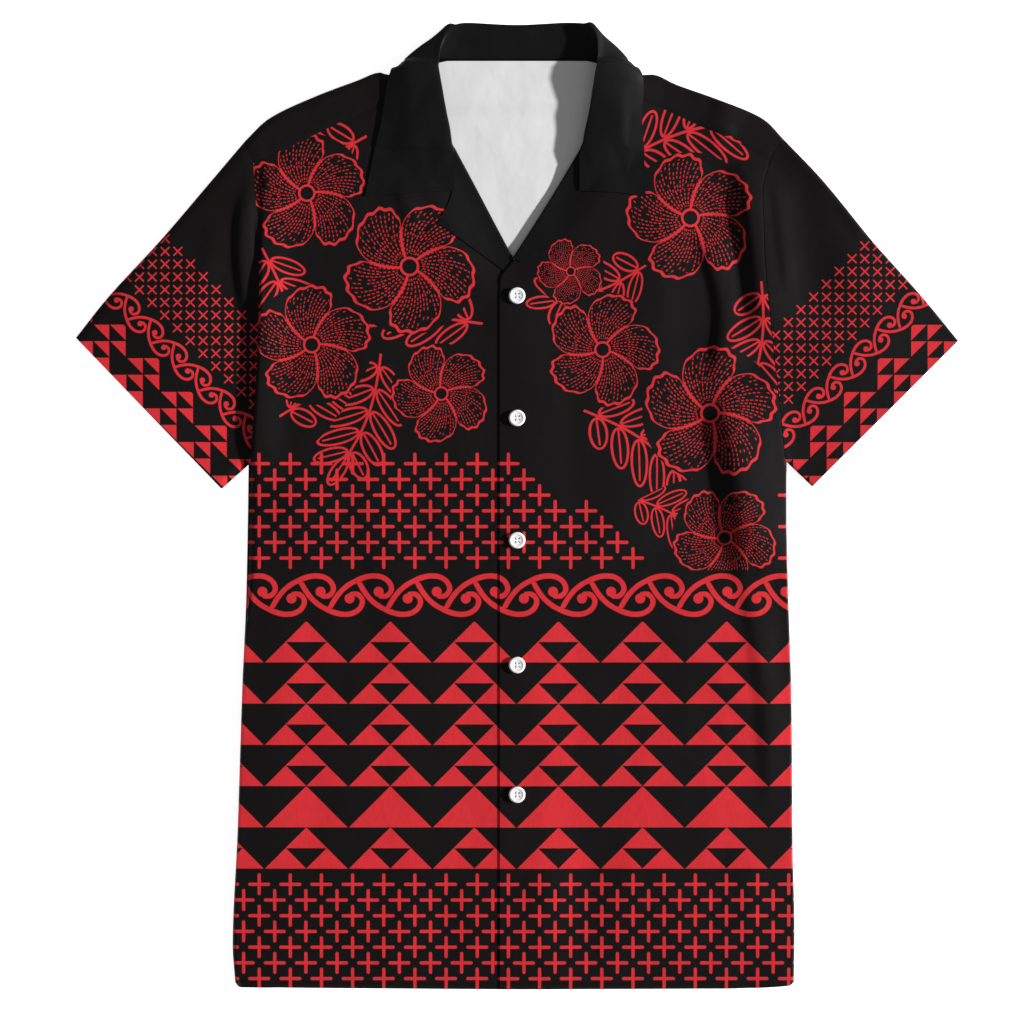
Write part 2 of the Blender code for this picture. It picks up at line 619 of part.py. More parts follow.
make_back(printed)
make_front(
    "front_right", printed, UNDER_EDGE, ROLL_RIGHT, NECK_RIGHT, SEAM_RIGHT, SIDE_RIGHT, ARMHOLE_RIGHT,
    over=False,
)
make_front(
    "front_left", printed, OVER_EDGE, ROLL_LEFT, NECK_LEFT, SEAM_LEFT, SIDE_LEFT, ARMHOLE_LEFT,
    over=True,
)
make_lapel("lapel_right", plain, ROLL_RIGHT, LAPEL_EDGE_RIGHT, over=False)
make_lapel("lapel_left", plain, ROLL_LEFT, LAPEL_EDGE_LEFT, over=True)
make_sleeve("sleeve_right", printed, ARMHOLE_RIGHT, SLEEVE_TOP_RIGHT, UNDERARM_RIGHT)
make_sleeve("sleeve_left", printed, ARMHOLE_LEFT, SLEEVE_TOP_LEFT, UNDERARM_LEFT)
make_collar(plain)
for count, button_y in enumerate(BUTTON_Y, start=1):
    make_button(count, button_y, pearl)
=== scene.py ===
"""Hawaiian shirt, dressed: thin printed cloth, a plain black collar and pearly buttons, laid flat.

+Z is up from the surface, +Y points to the collar and +X to the wearer's left. The tables
are in millimetres, and each mesh is made in metres. "Left" and "right" are the wearer's.
"""

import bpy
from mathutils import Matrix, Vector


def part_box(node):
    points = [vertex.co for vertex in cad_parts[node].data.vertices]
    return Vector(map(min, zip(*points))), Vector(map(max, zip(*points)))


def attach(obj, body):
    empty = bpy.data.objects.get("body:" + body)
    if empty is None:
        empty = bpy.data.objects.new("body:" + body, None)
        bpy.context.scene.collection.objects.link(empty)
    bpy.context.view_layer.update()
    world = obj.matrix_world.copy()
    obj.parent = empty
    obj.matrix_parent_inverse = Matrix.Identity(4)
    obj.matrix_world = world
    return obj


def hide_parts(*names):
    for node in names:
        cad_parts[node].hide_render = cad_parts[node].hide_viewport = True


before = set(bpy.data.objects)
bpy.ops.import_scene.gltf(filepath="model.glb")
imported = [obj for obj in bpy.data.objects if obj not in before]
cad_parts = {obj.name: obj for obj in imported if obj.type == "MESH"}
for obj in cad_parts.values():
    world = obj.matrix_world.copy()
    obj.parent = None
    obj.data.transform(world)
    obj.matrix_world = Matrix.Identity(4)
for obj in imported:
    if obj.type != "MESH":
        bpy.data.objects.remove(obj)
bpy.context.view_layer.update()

import math
from collections import namedtuple
from itertools import zip_longest

import bmesh
import bpy
import numpy as np
from bpy.props import FloatProperty, FloatVectorProperty, PointerProperty
from mathutils import Vector

bl_info = {
    "name": "Hawaiian Shirt",
    "version": (1, 0, 0),
    "blender": (4, 5, 0),
    "location": "View3D > Sidebar > Shirt",
    "description": "Dresses a flat-laid camp-collar shirt in printed cloth",
    "category": "Object",
}

MM = 0.001
MERGE, ON_CUT = 1e-6, 1e-7  # in metres: nearer points are one, and nearer ones lie on a cut
CRISP_ANGLE = 50.0  # degrees, past which an edge stays crisp

# ---------------------------------------------------------------------------------------
# The cut of the shirt, in millimetres. Sides, front edges, armholes, rolls and necks run
# upwards, shoulders and their seams inwards, sleeves outwards, lapel edges down to their
# front's edge, and the hem and the neck opening from right to left.
# ---------------------------------------------------------------------------------------
SIDE_RIGHT = (
    (-231, -390), (-233, -360), (-229, -266), (-225, -144), (-222, -77), (-220.5, -5), (-220, 34),
)
SIDE_LEFT = ((227, -390), (227.5, -348), (226, -282), (225, -159), (222, -61), (221, -5), (221, 36))
ARMHOLE_RIGHT = (
    (-220, 34), (-216, 67), (-214, 120), (-212, 174), (-212, 218), (-214, 254), (-217, 281), (-223, 299),
)
ARMHOLE_LEFT = (
    (221, 36), (216, 84), (210, 138), (204, 200), (203, 226), (202, 254), (210, 286), (219, 300),
)
HEM = ((-231, -390), (-226, -394), (-96, -395.5), (-4, -396), (167, -395.5), (222, -393), (227, -390))
SHOULDER_RIGHT = (
    (-223.4, 298.6), (-204, 317), (-167, 335), (-130, 349), (-112, 355.2), (-105, 353), (-98, 354),
    (-72, 363.8),
)
SHOULDER_LEFT = (
    (219.6, 299.2), (202, 317), (165, 333), (130, 345.5), (110, 353.5), (102, 353), (96, 354), (72, 363.8),
)
BACK_NECK = ((-64, 364.2), (-54, 364.6), (0, 364.6), (54, 364.6), (64, 364.2))
SEAM_RIGHT = ((-216.2, 281.3), (-191, 292), (-149, 312), (-115, 328), (-87, 338.5))
SEAM_LEFT = ((207.7, 281.3), (191, 292), (148, 312), (113, 328), (87, 338.5))
NECK_RIGHT = ((-50.5, 288), (-72.5, 300.5), (-84.5, 320), (-87, 338.5))
NECK_LEFT = ((51.5, 288), (72.5, 300.5), (85.5, 320), (87, 338.5))
# Where the fronts turn out
ROLL_RIGHT = ((-5.5, 203), (-21, 232.5), (-36, 261), (-50.5, 288))
ROLL_LEFT = ((-2.5, 201), (15.5, 229), (33, 257), (51.5, 288))
# The fronts' edges: the right one lies under the left one
UNDER_EDGE = ((14, -395.6), (14, 150), (14, 178), (-5.5, 203))
OVER_EDGE = ((-14, -395.8), (-14, 160), (-13.5, 184), (-2.5, 201))
# The sleeves' and the neck's outlines
SLEEVE_TOP_RIGHT = ((-223, 299), (-251, 266), (-292, 218), (-337, 169), (-361.6, 138))
SLEEVE_TOP_LEFT = ((219, 300), (250, 267), (290, 218), (334, 169), (361.6, 135.5))
UNDERARM_RIGHT = ((-220, 34), (-242, 14))
UNDERARM_LEFT = ((221, 36), (242, 16))
NECK_OPENING = ((-87, 338), (-72, 301), (-50, 288), (-4, 202), (50, 288), (72, 301), (87, 338))
# The lines that the lapels turn round, a little longer than the fronts' own, and their edges
LAPEL_ROLL_RIGHT = ((-3, 198.5), (-21, 232.5), (-36, 261), (-53, 292.5))
LAPEL_ROLL_LEFT = ((-1.6, 202.5), (15.5, 229), (33, 257), (54, 292.2))
LAPEL_EDGE_RIGHT = ((-50.4, 258.3), (-64.4, 231.6), (-6.5, 189.8))
LAPEL_EDGE_LEFT = ((52.5, 258.5), (49.5, 229.5), (2.5, 199.5))

# Folds of the upper layer: a crest (height > 0) or hollow (< 0) from one end to the other,
# bowed sideways, with its own width on each side of the line
Fold = namedtuple("Fold", "name x0 y0 x1 y1 bow low_width high_width height")
FOLDS = (
    Fold("left armhole fold", 185, 284, 203, 130, 1.5, 9, 26, 4.1),
    Fold("left armhole hollow", 167, 284, 185, 130, 1.5, 32, 9, -2.5),
    Fold("left sleeve swell", 246, 322, 281, 150, 3, 24, 42, 3.3),
    Fold("left chest fold", 146, 228, 160, 98, 14, 5, 18, 3.3),
    Fold("left waist fold", 170, 101, 193, -64, 1, 12.5, 28, 4.9),
    Fold("left waist hollow", 145, 101, 168, -64, 1, 40, 12.5, -3.2),
    Fold("left waist fold, low", 190, -4, 206, -62, 1, 5.5, 16, 0.6),
    Fold("left side fold", 182, -38, 207, -250, 6, 5.5, 12, 1.5),
    Fold("left shoulder crease", 170, 336, 160, 306, 3, 7, 10, 1.3),
    Fold("left shoulder crease, short", 176, 312, 158, 292, 0, 5, 7, 0.9),
    Fold("left sleeve crease", 209, 274, 222, 172, 1, 3.5, 10, 0.8),
    Fold("left cuff crease", 262, 246, 284, 220, 2, 4, 7, 1.0),
    Fold("right armhole crest", -205, 284, -209, 206, 1, 3.2, 16, 2.0),
    Fold("right armhole edge", -208, 236, -219, -2, 2.5, 1.8, 16, 3.2),
    Fold("right sleeve hollow", -214, 222, -226, 22, -1, 32, 2.2, -3.4),
    Fold("right sleeve lens", -221, 264, -220, 152, -6, 4, 10, 2.7),
    Fold("right sleeve crease", -250, 240, -262, 176, 4, 6, 9, 0.7),
    Fold("right collar crease", -98, 262, -88, 222, 4, 5, 8, 1.2),
    Fold("right chest crease", -74, 228, -54, 208, 2, 4, 5, 0.9),
    Fold("left hem fold", 158, -140, 196, -166, 3, 8, 8, 0.7),
    Fold("left hem fold, low", 176, -176, 150, -190, 2, 5, 6, 0.5),
)

FOLD_FULL = 1.6  # the higher, the sooner along its line a fold has its full height

# Collar sections from the right front point to the middle of the back. Each runs from the
# neck seam up the stand, over the roll and down the leaf to its edge, as (x, y, z).
COLLAR_COLUMNS = ("seam", "stand", "roll", "leaf", "fold", "under", "edge")
COLLAR_RIGHT = (
    ((-51.2, 258.0, 5), (-56, 257.8, 5), (-64, 257.4, 5), (-76, 256.8, 5),
     (-92, 255.9, 5), (-108, 254.7, 5), (-124.3, 253.6, 5)),
    ((-51.2, 272, 6), (-56, 272, 6), (-64, 272, 6), (-76, 272, 6),
     (-92, 271.7, 6), (-107, 271.4, 5), (-120.8, 271, 5)),
    ((-51, 287.4, 7.6), (-54.4, 287.9, 7.8), (-60.6, 288.4, 8.2), (-74, 289.3, 8.2),
     (-90, 289.8, 7.4), (-104, 290.2, 6.6), (-116.7, 290.6, 6)),
    ((-52.6, 291.2, 8.2), (-51.6, 292.2, 8.4), (-53.2, 293.2, 8.9), (-60, 294.4, 9.4),
     (-84, 295.8, 9.2), (-100, 297, 8), (-114.9, 298, 6.8)),
    ((-70.5, 302.4, 7.6), (-59.4, 303.5, 6.8), (-54.6, 306, 8.8), (-60, 307, 9.4),
     (-83, 307.5, 9.4), (-98, 308, 8), (-112.4, 308, 6.8)),
    ((-83, 320.5, 7.9), (-66, 321.5, 6.8), (-58.2, 324, 9.4), (-63, 324.5, 9.9),
     (-83, 324, 9.8), (-97, 324, 8.3), (-109.5, 323.5, 6.8)),
    ((-85.2, 336, 7.9), (-70, 338, 7.2), (-61.2, 341, 9.8), (-66, 341.5, 10.3),
     (-84, 340, 10), (-96.5, 339, 8.6), (-107.4, 338, 7)),
    ((-78.2, 348.3, 7.7), (-70.5, 350, 7.3), (-63.4, 353.5, 9.6), (-68.5, 355, 10.1),
     (-87, 353, 10.3), (-97.5, 351, 9), (-105.2, 349.5, 7.4)),
    ((-73.2, 355.4, 7.2), (-69, 356.5, 7.2), (-64.4, 360, 9.2), (-70, 361.5, 9.6),
     (-87, 361, 9.8), (-96, 359.6, 8), (-102.2, 358.2, 5.4)),
    ((-73, 360.6, 6.4), (-68, 361.6, 6.7), (-64, 364.5, 8.2), (-68.5, 366, 7.6),
     (-89.5, 364.5, 8), (-97, 360.6, 3.4), (-100.5, 356.8, 1.2)),
    ((-73, 364.6, 5.4), (-67.4, 366, 6.1), (-63.8, 369, 7.4), (-68, 371, 6.6),
     (-91.8, 365.6, 5.2), (-91, 359.5, 1.1), (-91, 346.5, 1)),
    ((-69, 366.0, 4.6), (-65, 370.4, 5.6), (-61.6, 379, 6.5), (-64.6, 382.5, 5.6),
     (-74.8, 379, 4.6), (-75, 371, 1.2), (-74, 346.5, 1)),
    ((-60, 366.2, 3.9), (-57, 379, 5.2), (-53.5, 392.6, 5.5), (-54.5, 395, 4.1),
     (-56, 389, 1.4), (-58, 372, 1), (-58, 346, 1)),
    ((-40, 366, 3.0), (-40, 384, 4.4), (-40, 395.4, 4.2), (-40, 389.5, 1.3),
     (-40, 378, 1), (-40, 362, 1), (-40, 345.5, 1)),
    ((0, 366, 3.0), (0, 384, 4.4), (0, 393.6, 4), (0, 388, 1.3),
     (0, 376, 1), (0, 361, 1), (0, 345, 1)),
)
# The left side mirrors the right but for these moves of the roll, fold and edge towards
# the middle, a row for each section that differs
COLLAR_LEFT_MOVES = (
    (0, 3, 19), (0, 3, 16.5), (0, 3, 12.5), (-0.5, 2, 11.5), (-1, 0, 10), (-1.3, 0, 7), (-0.8, 0, 4),
    (-0.6, 0, 2), (-0.8, 1.5, 3), (-1.2, 1.5, 1.5), (-2.2, 1.5, 0), (-4, -2, 0), (-5, -2, 0),
)
# and how much higher the left side's roll and leaf stand
COLLAR_LEFT_LIFTS = (
    (0, 0, 0), (0, 0, 0), (0, 0, 0), (0, 0.2, 0.1), (0.2, 0.4, 0.3), (1.6, 1.2, 0.7), (4.4, 2.2, 1.0),
    (6.4, 3.3, 1.5), (6.7, 3.3, 1.5), (6.6, 3.0, 1.1), (7.0, 2.6, 0.5), (7.1, 2.2, 0.2), (6.6, 1.6, 0),
)
STAND_MOVE = 0.6  # the stand's share of the roll's move
STAND_LIFT, LEAF_LIFT = 0.3, 0.9  # and the stand's and the leaf's of its lift
COLLAR_ROLL = 2  # the leaf is past this column
COLLAR_TIP = 2  # and wholly on the fronts up to this section from each end
COLLAR_ON_FRONT_Z, COLLAR_ON_FRONT_Y = 5.9, 358.0
COLLAR_GAP, COLLAR_SETTLE = 0.5, 0.25  # over the fronts, and how far it then settles

# Soft hollows (< 0) and swells of the collar: x, y, along, across, turn in degrees, height
Dent = namedtuple("Dent", "name x y length width turn height")
DENTS = (
    Dent("right leaf, upper", -80, 330, 16, 6, 60, -0.7),
    Dent("right leaf, middle", -104, 300, 14, 7, 75, -0.6),
    Dent("right leaf, inner", -72, 292, 12, 6, 100, -0.5),
    Dent("right leaf, low", -96, 272, 20, 7, 20, -0.4),
    Dent("stand, left", 28, 384, 9, 3.5, 120, -0.7),
    Dent("stand, middle", -18, 382, 12, 4, 70, -0.45),
    Dent("left leaf, low", 84, 280, 18, 7, 110, -0.45),
)
DENT_LOWEST_Z = 5.0  # under this the collar has none

# How high the layers lie, in millimetres. A reach is how far a rise or sink fades out.
EDGE_TOP, EDGE_RISE = 2.2, 2.3  # at the outline, and how much more close inside it
EDGE_REACH_RIGHT, EDGE_REACH_LEFT = 6.0, 1.4  # the right side rises more softly, but not low down
SOFT_SIDE_Y, SOFT_SIDE_FADE = -110.0, 60.0
LOFT, LOFT_REACH = 0.9, 70.0  # how much more again in the middle
CUFF_SINK, CUFF_REACH = 1.6, 60.0
NECK_LIFT, NECK_REACH = 2.0, 38.0  # round the neck the fronts lie high
NECK_APEX_Y, NECK_TOP_Y = 255.0, 312.0
NECK_SINK, NECK_SINK_REACH = 3.1, 37.0  # but low towards the lapels' meeting
SIDE_TOP, SIDE_SEAM_END = 1.5, 60.0  # the fronts come down to this at their sides, below this y
SIDE_REACH_RIGHT, SIDE_REACH_LEFT = 5.0, 1.4
OVERLAP_LIFT, OVERLAP_EDGE, OVERLAP_FADE = 0.85, 18.0, 40.0  # full up to x of the edge
APEX_LIFT, APEX_Y, APEX_REACH = 1.1, 198.0, 22.0  # over the right lapel's end
BACK_RISE, BACK_RISE_Y, BACK_RISE_REACH = 2.1, 318.0, 15.0
BACK_RISE_X, BACK_RISE_FADE = 112.0, 30.0
BACK_FOLD, SLEEVE_FOLD = 2.4, 1.6  # how far the flat cloth ends inside a folded edge
PLACKET = 14.0  # how far a front goes past the middle
TUCK = 1.6  # how far a seam's lower layer goes on under the upper one
TUCK_REACH = 4.0
LAYER_GAP = 0.1  # between two layers that lie on each other
SEAM_DEPTH, SEAM_WIDTH = 0.3, 2.0  # the groove along a seam
OUTER_FACE, MIDDLE = -1.0, 0.0  # what the drawn surface is of the cloth, as Solidify counts it

# A lapel's section round its front's edge: how far inside the edge each point lies, and its
# height over the front's middle as a share of the whole distance
LAPEL_REACH = (4.0, 3.2, 0.8, -1.0, -1.8, -1.0, 0.8, 3.2)
LAPEL_LEVEL = (-1, -1, -1, -0.82, 0, 0.82, 1, 1)
LAPEL_HOOK = 4.0  # how much further its hidden end reaches, at the roll's upper end
LAPEL_SQUARE = 0.8  # so far in, it runs square to the roll

# Where a front's columns of points stand, closer near its side
FRONT_COLUMNS = np.concatenate([[0, 0.0025, 0.006, 0.011, 0.018], np.linspace(0.028, 1, 76)])

# ---------------------------------------------------------------------------------------
# The print, in millimetres on the body. The sleeves carry it smaller and turned.
# ---------------------------------------------------------------------------------------
PRINT_SOFT = 0.22  # how soft the edge of the ink is
FAR = 100.0  # a distance that is outside of everything
CROSS_PITCH, CROSS_ROW = 25.5, 12.87
CROSS_ARM, CROSS_STROKE, SLEEVE_CROSS_STROKE = 9.0, 2.65, 2.1
UPPER_CROSSES = (-198.3, -3.95)  # the middle of a cross in the middle one of seven rows
LOWER_CROSSES = (-198.3, -348.2)
CROSS_CUT = (59.8, -1.4)  # x of the diagonal where the crosses end, and its slope over y
SIDE_CROSSES = (405.0, 14.0)  # past this x and below this y, from their start, they go on
SCROLL_X, SCROLL_Y, SCROLL_PITCH = 29.44, -72.9, 47.56
SCROLL_STROKE, SCROLL_BULB, SCROLL_RISE = 4.1, 4.05, 2.75
SCROLL_WIDER, SLEEVE_SCROLL_WIDER = 0.05, -0.15  # what is added on each side of the stroke
SCROLL_START = 16.0  # where one scroll's share of the band starts
SCROLL_CURVE_TOP = 1.3  # the curve's values are divided by this, to stay under one
# Centre line of one scroll about its bulb, as (angle in degrees, radius, share of the stroke)
SCROLL_LINE = (
    (-90, 2.5, 0.9), (-60, 3.4, 0.95), (-34, 6.3, 1), (-12.7, 8.4, 1), (10, 10.6, 1), (37.8, 11.5, 1),
    (74.5, 12.2, 1), (111.5, 13.9, 1), (146.5, 18.6, 1), (165.7, 24.6, 1), (180.5, 31.3, 1),
    (190.2, 36.5, 1), (199, 42.2, 1),
)
TRIANGLE_X, TRIANGLE_TOP = 33.95, -94.8
TRIANGLE_PITCH, TRIANGLE_ROW = 68.8, 33.75
TRIANGLE_SOLID_ROW, TRIANGLE_ROWS = 4, 6
TRIANGLE_GAP, TRIANGLE_INSET = 0.15, 0.42  # under a row, and how far the ink stays inside the lines
TRIANGLE_FULLER = 0.85  # on the body, how far the slopes lie further out
CROSSES_TOP, SCROLL_TOP, TRIANGLES_TOP, TRIANGLES_END = 46.0, -52.5, -93.4, -299.4  # the bands' ends

# The sleeves carry this place of the body's print smaller, at x and y, turned
SLEEVE_CENTRE, SLEEVE_SCALE = (134.9, SCROLL_Y), 0.577
SleevePrint = namedtuple("SleevePrint", "x y turn")
SLEEVE_PRINTS = {
    "right": SleevePrint(-274.0, 117.1, -45.0),
    "left": SleevePrint(271.6, 112.2, 45.0),
}
# The sleeves' triangles are a little smaller still, and so far aside
SLEEVE_TRIANGLE_SCALE, SLEEVE_TRIANGLE_MOVE = 0.981, (3.6, 3.6)

# Blossoms as (x, y, turn, petal length), and leaf sprays as (x, y, turn, length)
BLOSSOMS = {
    "front_right": ((-172, 256, 12, 48), (-88, 196, 47, 54), (-168, 132, 80, 48), (-62, 92, 30, 40)),
    "front_left": (
        (142, 236, 20, 52), (70, 128, 61, 46), (158, 76, 5, 54), (44, 192, 30, 27), (170, -26, 44, 42),
    ),
    "back": (
        (-150, 220, 12, 52), (-40, 250, 47, 44), (70, 200, 20, 52), (160, 260, 61, 44), (0, 110, 5, 52),
        (-130, 90, 33, 48), (140, 95, 15, 50),
    ),
}
SPRAYS = {
    "front_right": (
        (-128, 300, 196, 92), (-34, 150, 160, 96), (-206, 206, 285, 92), (-112, 120, 250, 92),
        (-190, 76, 20, 84),
    ),
    "front_left": (
        (96, 288, 15, 100), (104, 196, 200, 84), (200, 178, 262, 92), (60, 76, 325, 96), (96, 6, 330, 70),
    ),
    "back": (
        (-90, 300, 200, 92), (20, 290, 330, 96), (-60, 160, 200, 92), (80, 130, 330, 92),
        (-180, 150, 270, 90), (190, 180, 270, 90),
    ),
}
# Of a blossom with petals one long, and of a spray one long
BLOSSOM_STROKE, BLOSSOM_SOFT = 0.038, 0.004
SPRAY_STROKE, FINE_SOFT = 0.020, 0.003
SPRAY_PITCH, SPRAY_LEAN = 0.2, 52.0  # of its leaflets, and how they lean in degrees
BLOSSOM_CLEAR, BLOSSOM_CLEAR_CROSSES = 1.03, 1.06  # how far sprays and crosses keep away

# The cloth's finish
CLOTH_ROUGHNESS, CLOTH_SHINE = 0.53, 0.13
WEAVE_DEPTH, WEAVE_STRENGTH, CREASE_DEPTH = 0.04, 0.35, 1.6

# ---------------------------------------------------------------------------------------
# The buttons, in metres
# ---------------------------------------------------------------------------------------
# A button's section, as shares of radius and height: from its face's middle round to its back's
BUTTON_SECTION = (
    (0, 0.84), (0.52, 0.84), (0.62, 0.87), (0.70, 0.97), (0.78, 1.0), (0.88, 0.97), (0.96, 0.82),
    (1, 0.55), (0.96, 0.25), (0.84, 0), (0, 0),
)
BUTTON_COUNT, BUTTON_STEPS = 5, 48
BUTTON_GAP = 0.00025  # over the cloth
HOLE_RADIUS, HOLE_OUT, HOLE_STEPS = 0.00055, 0.00135, 16
THREAD_RADIUS, STRAND_PITCH = 0.00019, 0.00034
STITCH_HALF, STITCH_STEPS = 0.0015, 8
STITCH_TOP, STITCH_RISE, STITCH_DIP = 0.86, 0.0002, 0.0008  # a share of the height, and lengths
STITCH_LEVEL = 0.75  # the share of a stitch that lies level

# ---------------------------------------------------------------------------------------
# The stage: lengths in metres, angles in degrees, the lens in millimetres
# ---------------------------------------------------------------------------------------
FLOOR_HALF, FLOOR_DROP = 4.0, 0.0002
FLOOR_COLOUR, FLOOR_GLOW = (0.93, 0.93, 0.93, 1), 0.8
SUN_STRENGTH, SUN_WIDTH = 6.9, 3.0
SUN_HEIGHT, SUN_ASIDE = 20.0, 0.05  # low, from the wearer's left, and a little from the collar's end
SKY_STRENGTH = 0.22
CAMERA_PLACE, CAMERA_LENS, CAMERA_SENSOR = (-0.0041, -0.0049, 2.333), 100.0, 36.0


# ---------------------------------------------------------------------------------------
# Lines and heights
# ---------------------------------------------------------------------------------------
def smoothstep(t):
    """0 to 1 with level ends."""
    t = np.clip(t, 0.0, 1.0)
    return t * t * (3 - 2 * t)


def through(knots, rows, places):
    """Values at the places, on a line that joins the rows at the knots and never overshoots."""
    knots, rows = np.asarray(knots, float), np.asarray(rows, float)
    spans = np.diff(knots)
    grades = np.diff(rows, axis=0) / spans[:, None]
    product = grades[:-1] * grades[1:]
    total = np.where(product > 0, grades[:-1] + grades[1:], 1.0)
    inner = np.where(product > 0, 2 * product / total, 0.0)
    slopes = np.vstack([grades[:1], inner, grades[-1:]])
    places = np.asarray(places, float)
    k = np.clip(np.searchsorted(knots, places, side="left") - 1, 0, len(spans) - 1)
    t = ((places - knots[k]) / spans[k])[:, None]
    span = spans[k][:, None]
    low = (1 + 2 * t) * (1 - t) ** 2 * rows[k] + t * (1 - t) ** 2 * span * slopes[k]
    high = t * t * (3 - 2 * t) * rows[k + 1] + t * t * (t - 1) * span * slopes[k + 1]
    return low + high


def shares(line):
    """How far along its length each point of a line lies."""
    reach = np.concatenate([[0.0], np.cumsum(np.linalg.norm(np.diff(line, axis=0), axis=1))])
    return reach / reach[-1]


def along(points, count):
    """A smooth line through the points, as count steps of even length."""
    points = np.asarray(points, float)
    return through(shares(points), points, np.linspace(0, 1, count + 1))


def joined(*legs):
    """Smooth lines that meet end to end, each as (points, count)."""
    lines = [along(points, count)[:-1] for points, count in legs]
    return np.vstack([*lines, np.asarray(legs[-1][0][-1:], float)])


def moved_left(line, distance):
    """A line moved to its left, in the plan."""
    ahead = np.vstack([line[1:], line[-1:]]) - np.vstack([line[:1], line[:-1]])
    ahead /= np.linalg.norm(ahead, axis=1)[:, None]
    return line + np.column_stack([-ahead[:, 1], ahead[:, 0]]) * distance


def between_edges(low, high, first, last):
    """A Coons patch: x and y of each row and column of a panel between four edge lines."""
    u = (shares(low) + shares(high))[None, :, None] / 2
    v = (shares(first) + shares(last))[:, None, None] / 2
    sides = (1 - u) * first[:, None] + u * last[:, None]
    ends = (1 - v) * low[None] + v * high[None]
    corners = (1 - u) * (1 - v) * low[0] + u * (1 - v) * low[-1]
    corners = corners + (1 - u) * v * high[0] + u * v * high[-1]
    place = sides + ends - corners
    return place[..., 0], place[..., 1]


def distance_to(x, y, line):
    """Distance from each place to a line of points."""
    nearest = np.full(np.shape(x), 1e9)
    for (ax, ay), (bx, by) in zip(line[:-1], line[1:]):
        dx, dy = bx - ax, by - ay
        t = np.clip(((x - ax) * dx + (y - ay) * dy) / (dx * dx + dy * dy), 0, 1)
        nearest = np.minimum(nearest, np.hypot(x - ax - t * dx, y - ay - t * dy))
    return nearest


SIDES = {"right": along(SIDE_RIGHT, 20), "left": along(SIDE_LEFT, 20)}
ARMHOLES = {"right": along(ARMHOLE_RIGHT, 30), "left": along(ARMHOLE_LEFT, 30)}
SEAMS = {"right": along(SEAM_RIGHT, 12), "left": along(SEAM_LEFT, 12)}
OUTLINE = (
    *SIDES.values(),
    along(HEM, 12),
    along(SHOULDER_RIGHT, 16),
    along(SHOULDER_LEFT, 16),
    along(SLEEVE_TOP_RIGHT, 10),
    along(SLEEVE_TOP_LEFT, 10),
    np.array(UNDERARM_RIGHT, float),
    np.array(UNDERARM_LEFT, float),
)
CUFFS = (
    np.array([UNDERARM_RIGHT[-1], SLEEVE_TOP_RIGHT[-1]], float),
    np.array([UNDERARM_LEFT[-1], SLEEVE_TOP_LEFT[-1]], float),
)
NECK_LINE = np.array(NECK_OPENING, float)


def fold_rise(x, y, fold):
    """What one fold adds to the height of the upper layer."""
    dx, dy = fold.x1 - fold.x0, fold.y1 - fold.y0
    share = np.clip(((x - fold.x0) * dx + (y - fold.y0) * dy) / (dx * dx + dy * dy), 0, 1)
    swell = np.sin(math.pi * share)
    line_x = fold.x0 + dx * share + fold.bow * swell
    away = np.hypot(x - line_x, y - fold.y0 - dy * share)
    width = np.where(x < line_x, fold.low_width, fold.high_width)
    return fold.height * np.minimum(1.0, FOLD_FULL * swell) * (1 - smoothstep(away / (2 * width)))


def wave(place, length, phase):
    """A sine whose wave is 2 pi lengths long."""
    return np.sin(place / length + phase)


def slack(x, y):
    """The gentle uneven swell of cloth that lies loose, up to about half a millimetre.

    Its lengths and phases are chosen so that no stretch of it repeats.
    """
    drift = x + 9 * wave(y, 71, 0.4) + 5 * wave(y, 29, 2.0)
    waves = 0.34 * wave(drift, 17, 1.1) + 0.22 * wave(drift, 9.3, y / 160)
    cross = 0.20 * wave(y + 0.3 * x, 24, 0.7) * wave(x, 61, 2.2)
    patches = 0.5 + 0.5 * wave(x, 83, 0.9) * wave(y, 97, -0.5)
    return waves * patches + cross


def side_reach(x, y, soft, sharp):
    """A reach at the sides: soft on the right and high up, sharp low down and on the left."""
    share = np.where(x < 0, smoothstep((y - SOFT_SIDE_Y) / SOFT_SIDE_FADE), 0.0)
    return sharp + (soft - sharp) * share


def upper_height(x, y):
    """Height of the upper layer's outer face, the same on every panel."""
    to_edge = np.minimum.reduce([distance_to(x, y, line) for line in OUTLINE])
    reach = side_reach(x, y, EDGE_REACH_RIGHT, EDGE_REACH_LEFT)
    height = EDGE_TOP + EDGE_RISE * np.sin(np.clip(to_edge / reach, 0, 1) * math.pi / 2)
    inside = smoothstep(to_edge / LOFT_REACH)
    height += LOFT * inside
    to_cuff = np.minimum.reduce([distance_to(x, y, line) for line in CUFFS])
    height -= CUFF_SINK * (1 - smoothstep(to_cuff / CUFF_REACH))
    to_neck = distance_to(x, y, NECK_LINE)
    up = smoothstep((y - NECK_APEX_Y) / (NECK_TOP_Y - NECK_APEX_Y))
    height += NECK_LIFT * (1 - smoothstep(to_neck / NECK_REACH)) * up
    height -= NECK_SINK * (1 - smoothstep(to_neck / NECK_SINK_REACH)) * (1 - up)
    for fold in FOLDS:
        height += fold_rise(x, y, fold)
    height += slack(x, y) * inside
    for line in (*ARMHOLES.values(), *SEAMS.values()):
        height -= SEAM_DEPTH * np.exp(-((distance_to(x, y, line) / SEAM_WIDTH) ** 2))
    return np.maximum(height, SIDE_TOP)


def back_bottom(x, y):
    """Height of the back's underside: flat, but raised where the collar leaf lies under it."""
    up = smoothstep((y - BACK_RISE_Y) / BACK_RISE_REACH)
    return BACK_RISE * up * (1 - smoothstep((np.abs(x) - BACK_RISE_X) / BACK_RISE_FADE))


def overlap_lift(x, y):
    """How much higher the left front lies, on the right front's edge."""
    lift = OVERLAP_LIFT + APEX_LIFT * (1 - smoothstep(np.abs(y - APEX_Y) / APEX_REACH))
    return lift * (1 - smoothstep((x - OVERLAP_EDGE) / OVERLAP_FADE))


